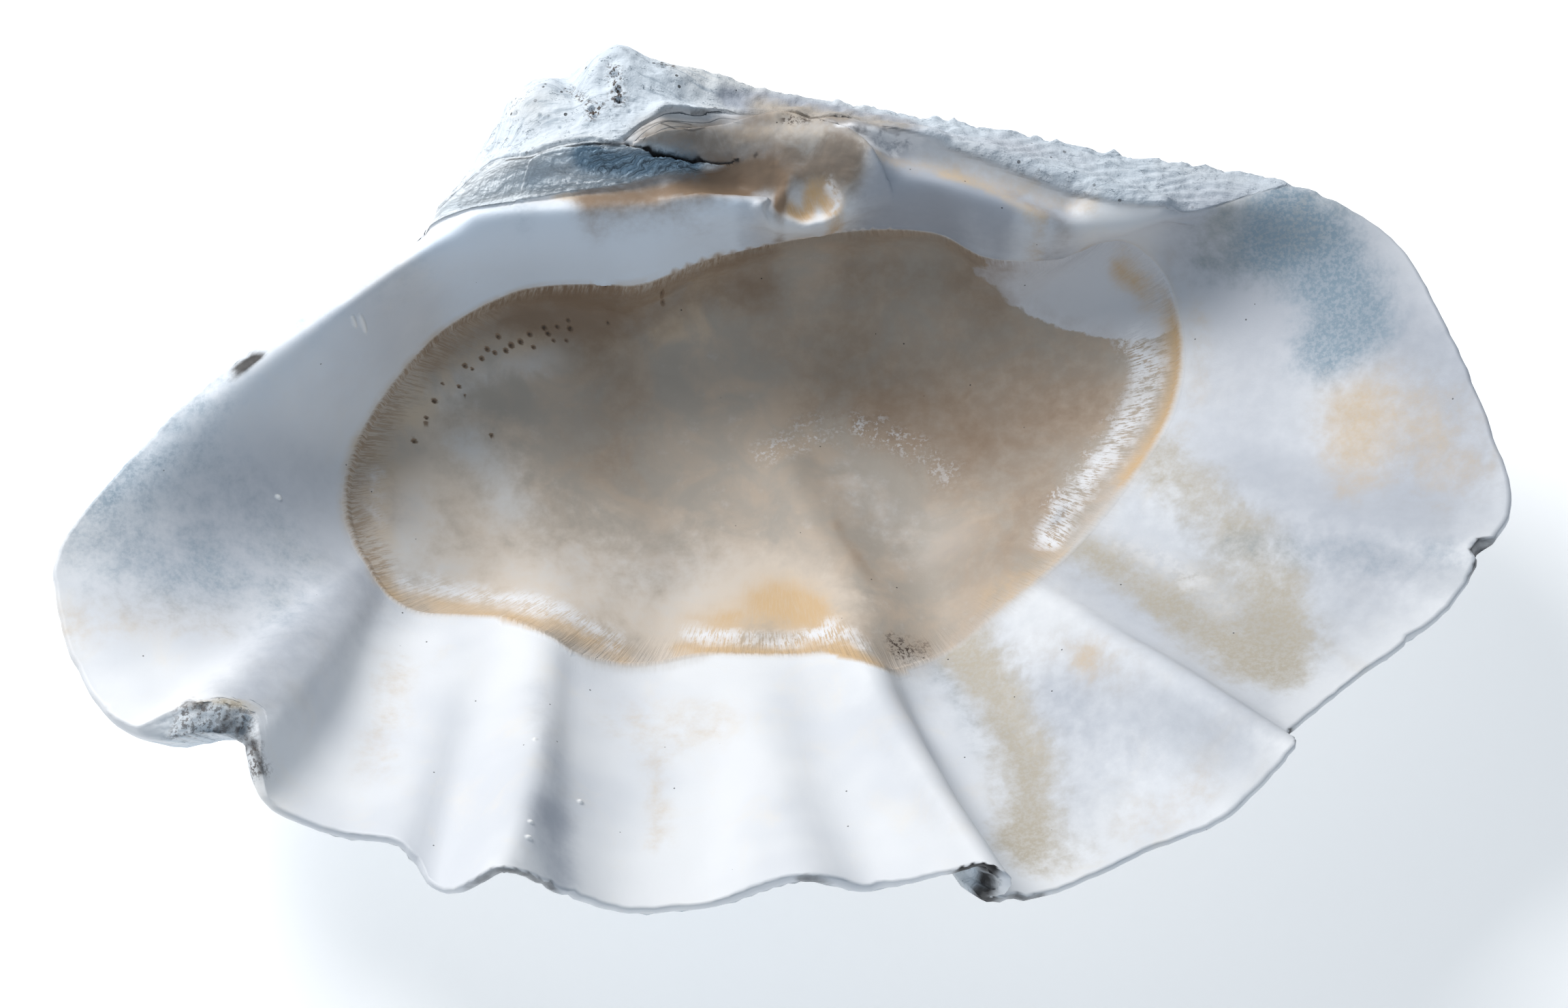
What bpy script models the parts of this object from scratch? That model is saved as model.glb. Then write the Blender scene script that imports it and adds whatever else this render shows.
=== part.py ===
"""Giant clam shell: one valve of a Tridacna lying hollow side up, at real size, in metres, +Z up.

The valve is one piece. Its mesh is a UV sphere reshaped by functions: the sphere's upper pole is the middle
of the hollow, its equator is the free margin with the umbo at the back, and its lower pole is the back of
the umbo, where the outer ribs meet. Every column of the sphere crosses one place of the margin, and every
row is one place between the hollow's middle and the back of the umbo.
"""
import math

import bmesh
import bpy
import numpy as np

NAME = "valve"
MM = 0.001

# The six stretches of a column, in order, and the rows of faces that each one gets
FLOOR, WALL, LOWER_SLOPE, UPPER_SLOPE, LIP, OUTSIDE = range(6)
STRETCH_ROWS = {FLOOR: 7, WALL: 1, LOWER_SLOPE: 4, UPPER_SLOPE: 9, LIP: 2, OUTSIDE: 18}
COLUMNS = 120
COLUMN_PACKING = 7.0
HINGE_PACKING = 1.3

# Driving sizes, millimetres
HOLLOW_MIDDLE = (0.0, 95.0, 46.0)
UMBO_BACK = (-88.0, 208.0)
UMBO_BULGE = 16.0
UMBO_BULGE_REACH = 70.0
BASE_MIDDLE = (0.0, 32.0)
BOWL_HEART = (0.0, 32.0, 150.0)
BASE_FLAT_DEPTH = 5.0
OUTLINE_SMOOTHING = 80.0
EDGE_SMOOTHING = 45.0
LIP_LEAN = 0.5
LIP_ROUNDING = 0.2
LEDGE_HEIGHT = 3.5
LEDGE_WIDTH = 0.012

# How shapes fade and bend, without units
FLOOR_FOLD_FADE = 6.0
RIB_FADE = 2.2
BOWL_POWER = 1.7
BOWL_FULLNESS = ((-90, 0.80), (0, 0.60), (60, 0.50), (110, 0.45), (160, 0.36), (200, 0.50), (235, 0.70))

# Where the growth ledges lie on the outside, as shares of the way from the margin to the umbo
LEDGES = (0.05, 0.13, 0.23, 0.35, 0.49, 0.64, 0.80)

# Stations round the valve, millimetres: the edge of the hollow, the crest or mid slope and the margin, then
# the drop under the edge, how far the hollow runs in under it, and the thickness of the margin there
STATIONS = (
    ("umbo_back", (-77, 141, 112), (-84, 154, 160), (-94, 252, 168), 30, 6, 22),
    ("umbo_left", (-99, 142, 110), (-106, 150, 160), (-123, 242, 158), 28, 6, 20),
    ("umbo_lobe", (-119, 143, 108), (-126, 146, 160), (-145, 236, 152), 24, 5, 18),
    ("umbo_side", (-134, 143, 106), (-142, 142, 160), (-163, 211, 148), 20, 4, 16),
    ("umbo_foot", (-149, 141, 103), (-158, 136, 159), (-181, 181, 148), 14, 3, 14),
    ("left_rim_start", (-168, 133, 100), (-179, 127, 156), (-194, 151, 152), 9, 2, 13),
    ("left_rim_a", (-190, 119, 96), (-207, 107, 148), (-229, 111, 160), 6, 0, 12),
    ("left_rim_b", (-208, 99, 92), (-235, 80, 142), (-271, 77, 162), 6, -1, 11),
    ("left_rim_c", (-223, 75, 89), (-259, 53, 136), (-311, 38, 161), 5, -2, 10),
    ("left_rim_d", (-233, 50, 87), (-278, 22, 130), (-346, -7, 159), 5, -2, 10),
    ("wing_top", (-236, 29, 86), (-287, -2, 126), (-366, -39, 157), 4, -2, 10),
    ("wing_tip", (-235, 15, 85), (-288, -19, 124), (-370, -60, 155), 4, -2, 10),
    ("wing_low", (-231, 2, 84), (-280, -45, 122), (-358, -101, 154), 3, -2, 10),
    ("ridge1_near", (-227, -8, 84), (-264, -66, 123), (-322, -146, 164), 3, -2, 12),
    ("ridge1", (-222, -16, 84), (-247, -72, 126), (-291, -147, 178), 3, -2, 13),
    ("ridge1_far", (-217, -25, 83), (-231, -81, 120), (-261, -153, 166), 3, -2, 12),
    ("valley2_start", (-209, -34, 80), (-223, -96, 108), (-251, -180, 150), 3, -2, 9),
    ("valley2", (-194, -41, 76), (-203, -103, 102), (-218, -193, 144), 2, -2, 8),
    ("valley2_far", (-171, -43, 77), (-177, -107, 105), (-187, -201, 150), 2, -2, 8),
    ("ridge2_foot", (-149, -46, 79), (-157, -119, 109), (-165, -228, 156), 2, -2, 7),
    ("ridge2", (-124, -60, 84), (-124, -125, 122), (-133, -228, 186), 2, -2, 6),
    ("ridge2_far", (-106, -69, 80), (-106, -131, 108), (-105, -228, 154), 2, -2, 7),
    ("valley3", (-81, -69, 73), (-80, -134, 98), (-78, -231, 139), 2, -2, 8),
    ("valley3_far", (-46, -62, 72), (-42, -130, 97), (-36, -228, 140), 2, -2, 8),
    ("ridge3", (-17, -65, 75), (-6, -129, 106), (11, -222, 162), 2, -2, 8),
    ("valley3b", (6, -67, 78), (18, -131, 106), (41, -225, 153), 2, -2, 8),
    ("ridge4_near", (25, -70, 85), (44, -133, 116), (76, -225, 172), 2, -2, 6),
    ("ridge4", (44, -81, 92), (63, -141, 131), (96, -229, 192), 2, -2, 5),
    ("ridge4_tip", (51, -83, 90), (72, -145, 129), (106, -234, 190), 2, -2, 5),
    ("ridge4_under", (56, -82, 84), (76, -144, 113), (106, -235, 172), 2, -2, 5),
    ("ridge4_foot", (61, -78, 79), (79, -141, 102), (99, -231, 153), 2, -2, 5),
    ("valley4", (76, -67, 75), (95, -132, 98), (125, -224, 141), 2, -2, 7),
    ("valley4_far", (95, -55, 77), (126, -118, 101), (175, -204, 146), 2, -2, 7),
    ("ridge5_near", (114, -41, 83), (154, -99, 113), (218, -189, 162), 2, -2, 7),
    ("ridge5", (129, -32, 90), (177, -85, 128), (245, -166, 188), 2, -2, 6),
    ("ridge5_foot", (137, -24, 88), (183, -71, 114), (249, -146, 160), 2, -2, 7),
    ("valley5", (153, -7, 85), (211, -47, 106), (292, -107, 147), 2, -2, 8),
    ("valley5_far", (174, 19, 86), (241, -17, 110), (336, -74, 153), 2, -2, 9),
    ("ridge6", (192, 43, 89), (256, 3, 117), (350, -55, 166), 3, -2, 9),
    ("valley6", (208, 70, 90), (273, 34, 116), (370, -22, 163), 3, -2, 9),
    ("right_a", (216, 97, 94), (277, 68, 120), (365, 23, 162), 3, -2, 10),
    ("right_b", (216, 127, 100), (271, 108, 124), (350, 77, 163), 3, -2, 10),
    ("right_c", (208, 151, 108), (255, 142, 134), (327, 133, 166), 3, -2, 11),
    ("shoulder", (193, 163, 117), (221, 157, 146), (286, 165, 168), 2, -2, 12),
    ("crest_a", (177, 165, 120), (184, 150, 150), (238, 184, 162), 2, -1, 14),
    ("crest_b", (148, 154, 118), (150, 148, 154), (179, 197, 160), 8, 1, 14),
    ("crest_c", (112, 152, 122), (110, 158, 160), (120, 208, 160), 20, 4, 14),
    ("crest_d", (82, 166, 126), (76, 169, 162), (56, 220, 160), 26, 6, 14),
    ("crest_e", (43, 168, 126), (45, 166, 152), (4, 230, 160), 30, 6, 16),
    ("umbo_right", (0, 162, 124), (0, 158, 142), (-41, 244, 162), 30, 6, 18),
    ("umbo_top", (-43, 153, 118), (-49, 159, 158), (-69, 247, 164), 30, 6, 20),
)

# Raised and sunken strokes above the hollow's edge, millimetres: line, half width, height
HINGE_STROKES = (
    ("trough", ((-168, 160), (-110, 170), (-60, 179), (-28, 183)), 9, -9),
    ("roll_tip", ((-52, 158), (-30, 159), (-13, 161)), 8, 7),
    ("umbo_swell", ((-116, 220), (-78, 226)), 30, 12),
    ("umbo_lobe", ((-142, 224), (-136, 230)), 15, 10),
    ("umbo_knob", ((-95, 238), (-92, 246)), 12, 10),
    ("umbo_shoulder", ((-64, 236), (-40, 234)), 11, 6),
    ("umbo_pit", ((-98, 224), (-94, 236)), 5, -6),
    ("umbo_saddle", ((-120, 240), (-114, 222)), 6, -5),
    ("ligament_low", ((-176, 160), (-150, 176), (-110, 184), (-74, 188)), 5, 4),
    ("ligament_high", ((-180, 172), (-150, 192), (-118, 203), (-92, 202)), 6, 6),
    ("tooth", ((-50, 192), (-17, 196), (25, 190), (48, 180)), 13, 15),
    ("plate", ((-64, 205), (-17, 211), (6, 211)), 5, 6),
    ("cleft", ((-84, 196), (-55, 195), (-28, 189)), 5, -13),
    ("socket", ((11, 170), (18, 170)), 12, -16),
    ("hinge_ledge", ((-12, 160), (30, 158)), 6, 5),
    ("groove", ((60, 190), (105, 176), (150, 162)), 9, -8),
    ("white_ledge", ((38, 200), (81, 196)), 5, 4),
    ("rim", ((26, 209), (81, 196), (127, 184), (168, 170), (202, 158)), 6, 6),
)

# The same for the floor of the hollow and the lower slope
FLOOR_STROKES = (
    ("ridge4_root", ((50, -78), (40, -20), (18, 25), (0, 55)), 17, 9),
    ("valley4_root", ((88, -60), (80, -15), (70, 20)), 20, -6),
    ("ridge2_root", ((-122, -60), (-128, -10), (-140, 35)), 20, 6),
    ("valley3_root", ((-60, -60), (-55, 0), (-60, 40)), 26, -4),
)


def closed_spline(knots, values, where):
    """Periodic cubic through the rows of values; knots has one more number, the full turn."""
    spans = np.diff(knots)
    before = np.roll(spans, 1)
    slopes = (np.roll(values, -1, axis=0) - values) / spans[:, None]
    tangents = spans[:, None] * np.roll(slopes, 1, axis=0) + before[:, None] * slopes
    tangents = tangents / (spans + before)[:, None]
    where = np.mod(where, knots[-1])
    i = np.clip(np.searchsorted(knots, where, side="right") - 1, 0, len(values) - 1)
    j = (i + 1) % len(values)
    span = spans[i][:, None]
    t = ((where - knots[i]) / spans[i])[:, None]
    start = (2 * t**3 - 3 * t**2 + 1) * values[i] + (t**3 - 2 * t**2 + t) * span * tangents[i]
    end = (3 * t**2 - 2 * t**3) * values[j] + (t**3 - t**2) * span * tangents[j]
    return start + end


def unit(vectors):
    return vectors / np.linalg.norm(vectors, axis=1)[:, None]


def smooth_step(low, high, value):
    t = np.clip((value - low) / (high - low), 0.0, 1.0)
    return t * t * (3.0 - 2.0 * t)


def distance_to_line(points, line):
    """Distance in plan from each point to a line of several straight runs."""
    best = np.full(len(points), np.inf)
    for start, end in zip(line[:-1], line[1:]):
        start = np.array(start, float)
        run = np.array(end, float) - start
        t = np.clip(((points - start) @ run) / (run @ run), 0.0, 1.0)
        best = np.minimum(best, np.linalg.norm(points - start - t[:, None] * run, axis=1))
    return best


def strokes_height(plan, strokes):
    """Sum of the raised and sunken strokes at points in plan."""
    total = np.zeros(len(plan))
    for name, line, half_width, height in strokes:
        total += height * np.exp(-0.7 * (distance_to_line(plan, line) / half_width) ** 2)
    return total


def smooth_outline(points, width):
    """A closed line of evenly placed points, smoothed over a length of about width each way."""
    gap = np.linalg.norm(np.roll(points, -1, axis=0) - points, axis=1).mean()
    reach = int(round(2.5 * width / gap))
    shares = {shift: math.exp(-0.5 * (shift * gap / width) ** 2) for shift in range(-reach, reach + 1)}
    total = sum(share * np.roll(points, shift, axis=0) for shift, share in shares.items())
    return total / sum(shares.values())


def ledge_rows(count):
    """Shares of the way to the umbo for the rows outside: two at each ledge and the rest between."""
    edges = [0.0]
    for ledge in LEDGES:
        edges += [ledge - LEDGE_WIDTH / 2, ledge + LEDGE_WIDTH / 2]
    edges.append(1.0)
    edges = np.array(edges)
    while len(edges) < count + 1:
        gaps = np.diff(edges)
        widest = int(np.argmax(gaps))
        edges = np.insert(edges, widest + 1, edges[widest] + gaps[widest] / 2)
    return edges


class Valve:
    """The valve's surface. ring(places, stretch, share) gives one row of points, in millimetres."""

    def __init__(self):
        self.table = np.array([list(edge) + list(crest) + list(margin) + [drop, under, lip]
                               for name, edge, crest, margin, drop, under, lip in STATIONS], float)
        margin = self.table[:, 6:9]
        chords = np.linalg.norm(np.roll(margin, -1, axis=0) - margin, axis=1)
        self.knots = np.concatenate([[0.0], np.cumsum(np.sqrt(chords))])
        self.dense = self.even_places(1200)
        self.smooth_margin = smooth_outline(self.under_margin(self.dense), OUTLINE_SMOOTHING)
        self.smooth_edge = smooth_outline(self.stations(self.dense)[:, 0:3], EDGE_SMOOTHING)
        arms = self.smooth_margin[:, :2] - np.array(BASE_MIDDLE)
        angles = np.arctan2(arms[:, 1], arms[:, 0])
        order = np.argsort(angles)
        self.arm_angles = angles[order]
        self.arm_reach = np.linalg.norm(arms, axis=1)[order]
        self.arm_height = self.smooth_margin[order, 2]

    def stations(self, where):
        """The twelve numbers of a station at any place round the valve."""
        return closed_spline(self.knots, self.table, where)

    def even_places(self, count, packing=0.0, hinge=0.0):
        """Places of columns round the margin: even along it, or closer at tight folds and at the hinge."""
        dense = np.linspace(0.0, self.knots[-1], 4001)
        margin = self.stations(dense)[:, 6:9]
        steps = np.linalg.norm(np.diff(margin, axis=0), axis=1)
        back = smooth_step(120.0, 160.0, margin[:-1, 1]) * smooth_step(300.0, 240.0, margin[:-1, 0])
        steps = steps * (1.0 + hinge * back) + packing * np.diff(dense)
        measure = np.concatenate([[0.0], np.cumsum(steps)])
        return np.interp(np.arange(count) * measure[-1] / count, measure, dense)

    def along(self, where, line):
        """Points of a densely sampled closed line at places round the margin."""
        return np.column_stack([np.interp(where, self.dense, line[:, k], period=self.knots[-1])
                                for k in range(3)])

    def under_margin(self, where):
        """The lower edge of the margin: the margin moved by its thickness, square to the wall."""
        step = 0.02
        here = self.stations(where)
        run = self.stations(where + step)[:, 6:9] - self.stations(where - step)[:, 6:9]
        growth = unit(here[:, 6:9] - here[:, 3:6])
        return here[:, 6:9] + (unit(np.cross(run, growth)) - LIP_LEAN * growth) * here[:, 11:12]

    def floor(self, where, share):
        """From the hollow's middle to the foot of the low wall round it."""
        data = self.stations(where)
        middle = np.array(HOLLOW_MIDDLE)
        foot = self.foot(data)
        folds = data[:, 0:3] - self.along(where, self.smooth_edge)
        even = foot - folds
        power = 2.0 + data[:, 9] / 12.0
        plan = middle[:2] + (even[:, :2] - middle[:2]) * share
        height = middle[2] + (even[:, 2] - middle[2]) * share**power
        points = np.column_stack([plan, height]) + folds * share**FLOOR_FOLD_FADE
        points[:, 2] += strokes_height(points[:, :2], FLOOR_STROKES)
        return points

    def foot(self, data):
        out = unit(data[:, 0:2] - np.array(HOLLOW_MIDDLE[:2]))
        return np.column_stack([data[:, 0:2] + out * data[:, 10:11], data[:, 2] - data[:, 9]])

    def slope(self, where, share):
        """From the hollow's edge (0) over the crest (1) to the margin (2), as one smooth curve."""
        data = self.stations(where)
        edge, crest, margin = data[:, 0:3], data[:, 3:6], data[:, 6:9]
        rows = STRETCH_ROWS[LOWER_SLOPE], STRETCH_ROWS[UPPER_SLOPE]
        low = rows[0] / sum(rows)
        rise, run = (crest - edge) / low, (margin - crest) / (1.0 - low)
        turn = rise * (1.0 - low) + run * low
        if share <= 1.0:
            t, start, end = share, edge, crest
            leave, arrive = (1.5 * rise - 0.5 * turn) * low, turn * low
        else:
            t, start, end = share - 1.0, crest, margin
            leave, arrive = turn * (1.0 - low), (1.5 * run - 0.5 * turn) * (1.0 - low)
        points = ((2 * t**3 - 3 * t**2 + 1) * start + (t**3 - 2 * t**2 + t) * leave
                  + (3 * t**2 - 2 * t**3) * end + (t**3 - t**2) * arrive)
        plan = points[:, :2]
        points[:, 2] += smooth_step(0.0, 0.4, share) * strokes_height(plan, HINGE_STROKES)
        points[:, 2] += smooth_step(0.8, 0.0, share) * strokes_height(plan, FLOOR_STROKES)
        return points

    def outside(self, where, share):
        """From under the margin to the back of the umbo: a bowl with the margin's folds as ribs."""
        smooth = self.along(where, self.smooth_margin)
        folds = self.under_margin(where) - smooth
        plan = smooth[:, :2] + (np.array(UMBO_BACK) - smooth[:, :2]) * share
        arms = plan - np.array(BASE_MIDDLE)
        angle = np.arctan2(arms[:, 1], arms[:, 0])
        reach = np.interp(angle, self.arm_angles, self.arm_reach, period=2 * math.pi)
        rim = np.interp(angle, self.arm_angles, self.arm_height, period=2 * math.pi)
        ratio = np.clip(np.linalg.norm(arms, axis=1) / reach, 0.0, 1.0)
        turns, fullness = np.array(BOWL_FULLNESS).T
        full = np.interp(np.degrees(angle), turns, fullness, period=360)
        height = (rim + BASE_FLAT_DEPTH) * (1.0 - (1.0 - ratio**BOWL_POWER) ** full) - BASE_FLAT_DEPTH
        points = np.column_stack([plan, height]) + folds * (1.0 - share) ** RIB_FADE
        from_umbo = np.linalg.norm(plan - np.array(UMBO_BACK), axis=1) / UMBO_BULGE_REACH
        bulge = UMBO_BULGE * np.exp(-from_umbo**2) * smooth_step(0.0, 0.5, share)
        push = self.ledge(where, share) + bulge
        points += unit(points - np.array(BOWL_HEART)) * push[:, None]
        points[:, 2] = np.maximum(points[:, 2], 0.0)
        return points

    def ledge(self, where, share):
        """Growth ledges: the outside thickens towards each old margin and drops beyond it."""
        total = 0.0
        for ledge, end in zip(LEDGES, LEDGES[1:] + (1.0,)):
            if share < end:
                rise = min(1.0, (end - share) / (end - ledge - LEDGE_WIDTH / 2))
                total += rise * smooth_step(ledge - LEDGE_WIDTH / 2, ledge + LEDGE_WIDTH / 2, share)
        path = np.linalg.norm(self.along(where, self.smooth_margin)[:, :2] - np.array(UMBO_BACK), axis=1)
        return LEDGE_HEIGHT * total * (1.0 - share) * smooth_step(80.0, 300.0, path)

    def ring(self, where, stretch, share):
        """One row of points; share is the part of the stretch that lies behind it."""
        if stretch == FLOOR:
            return self.floor(where, share)
        if stretch == WALL:
            foot = self.floor(where, 1.0)
            return foot + (self.slope(where, 0.0) - foot) * share
        if stretch == LOWER_SLOPE:
            return self.slope(where, share)
        if stretch == UPPER_SLOPE:
            return self.slope(where, 1.0 + share)
        if stretch == OUTSIDE:
            return self.outside(where, share)
        data = self.stations(where)
        top = self.slope(where, 2.0)
        swell = unit(data[:, 6:9] - data[:, 3:6]) * data[:, 11:12] * LIP_ROUNDING * math.sin(math.pi * share)
        return top + (self.outside(where, 0.0) - top) * share + swell


def column_rows():
    """Every row of the sphere between its poles and at them, as a stretch and a share of it."""
    rows = [(FLOOR, 0.0)]
    for stretch, count in STRETCH_ROWS.items():
        shares = ledge_rows(count) if stretch == OUTSIDE else np.linspace(0.0, 1.0, count + 1)
        rows += [(stretch, share) for share in shares[1:]]
    return rows


def reshape_sphere(mesh):
    """Moves every vertex of a unit UV sphere to its place on the valve, centred over the origin."""
    valve = Valve()
    places = valve.even_places(COLUMNS, COLUMN_PACKING, HINGE_PACKING)
    rows = column_rows()
    rings = np.array([valve.ring(places, stretch, share) for stretch, share in rows])
    corners = rings.reshape(-1, 3)
    middle = (corners.min(axis=0) + corners.max(axis=0)) / 2
    middle[2] = 0.0
    for vertex in mesh.verts:
        down = math.acos(max(-1.0, min(1.0, vertex.co.z))) / math.pi * (len(rows) - 1)
        turn = math.atan2(vertex.co.y, vertex.co.x) / (2 * math.pi) * COLUMNS
        vertex.co = (rings[round(down), round(turn) % COLUMNS] - middle) * MM


def shell_material():
    material = bpy.data.materials.new("shell")
    material.use_nodes = True
    shader = material.node_tree.nodes["Principled BSDF"]
    shader.inputs["Base Color"].default_value = (0.80, 0.79, 0.78, 1.0)
    shader.inputs["Roughness"].default_value = 0.35
    shader.inputs["Metallic"].default_value = 0.0
    return material


def build_valve(collection):
    mesh = bmesh.new()
    bmesh.ops.create_uvsphere(mesh, u_segments=COLUMNS, v_segments=sum(STRETCH_ROWS.values()), radius=1.0)
    reshape_sphere(mesh)
    bmesh.ops.triangulate(mesh, faces=mesh.faces)
    data = bpy.data.meshes.new(NAME)
    mesh.to_mesh(data)
    mesh.free()
    data.shade_smooth()
    data.materials.append(shell_material())
    valve = bpy.data.objects.new(NAME, data)
    collection.objects.link(valve)
    return valve


def main():
    for old in list(bpy.data.objects):
        bpy.data.objects.remove(old, do_unlink=True)
    collection = bpy.data.collections.new("giant_clam_shell")
    bpy.context.scene.collection.children.link(collection)
    build_valve(collection)


main()
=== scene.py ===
"""Looks of the giant clam shell: the fine surface of the valve, its finish, the floor, light and camera.

The valve's surface follows the same sizes and functions as the solid that the frame holds. A UV sphere is
cut finer where the shell has fine relief, and every vertex is moved to its place on the valve.
"""
import math

import bmesh
import bpy
import numpy as np
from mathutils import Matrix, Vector, kdtree, noise


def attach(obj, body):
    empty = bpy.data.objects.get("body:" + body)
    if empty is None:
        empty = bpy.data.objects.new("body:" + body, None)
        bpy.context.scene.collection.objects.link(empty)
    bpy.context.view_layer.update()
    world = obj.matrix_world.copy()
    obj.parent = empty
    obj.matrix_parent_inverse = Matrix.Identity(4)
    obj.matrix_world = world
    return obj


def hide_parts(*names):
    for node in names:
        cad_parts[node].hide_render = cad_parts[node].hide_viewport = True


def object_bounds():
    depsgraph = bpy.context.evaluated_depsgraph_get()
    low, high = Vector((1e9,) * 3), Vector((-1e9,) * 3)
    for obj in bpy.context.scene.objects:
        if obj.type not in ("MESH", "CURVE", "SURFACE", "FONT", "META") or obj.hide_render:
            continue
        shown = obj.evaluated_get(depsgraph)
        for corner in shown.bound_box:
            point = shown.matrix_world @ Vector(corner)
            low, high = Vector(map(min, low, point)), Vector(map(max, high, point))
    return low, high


MM = 0.001

# The six stretches of a column of the sphere, in order, and the rows of faces that each one gets
FLOOR, WALL, LOWER_SLOPE, UPPER_SLOPE, LIP, OUTSIDE = range(6)
STRETCH_ROWS = {FLOOR: 24, WALL: 2, LOWER_SLOPE: 10, UPPER_SLOPE: 20, LIP: 3, OUTSIDE: 36}
COLUMNS = 288
COLUMN_PACKING = 5.0
HINGE_PACKING = 0.6
CRESTS_AT = 4.0 / 13.0

# How many points the closed lines round the valve are sampled at: to smooth them, to measure from them
# and to space the columns along them
SMOOTHING_POINTS = 1200
MEASURING_POINTS = 2400
SPACING_POINTS = 4001

# The longest edge of a face in each part that is cut finer, millimetres. A part with more than one is
# cut that many times over
HINGE_FACES = (3.2, 1.7)
CORE_FACES = 1.15
HOLLOW_EDGE_FACES = 2.6
MARGIN_FACES = 3.0
SPOT_FACES = (2.4, 1.2, 0.6)

# Driving sizes, millimetres
HOLLOW_MIDDLE = (0.0, 95.0, 46.0)
UMBO_BACK = (-88.0, 208.0)
UMBO_BULGE = 16.0
UMBO_BULGE_REACH = 70.0
BASE_MIDDLE = (0.0, 32.0)
BOWL_HEART = (0.0, 32.0, 150.0)
BASE_FLAT_DEPTH = 5.0
OUTLINE_SMOOTHING = 80.0
EDGE_SMOOTHING = 45.0
DROP_SMOOTHING = 110.0
LIP_LEAN = 0.5
LIP_ROUNDING = 0.2
LEDGE_HEIGHT = 3.5
LEDGE_WIDTH = 0.012
FRAME_MIDDLE = (0.549, 8.220, 0.0)

# How shapes fade and bend, without units
FLOOR_FOLD_FADE = 6.0
RIB_FADE = 2.2
BOWL_POWER = 1.7
BOWL_FULLNESS = ((-90, 0.80), (0, 0.60), (60, 0.50), (110, 0.45), (160, 0.36), (200, 0.50), (235, 0.70))

# Where the growth ledges lie on the outside, as shares of the way from the margin to the umbo
LEDGES = (0.05, 0.13, 0.23, 0.35, 0.49, 0.64, 0.80)

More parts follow.
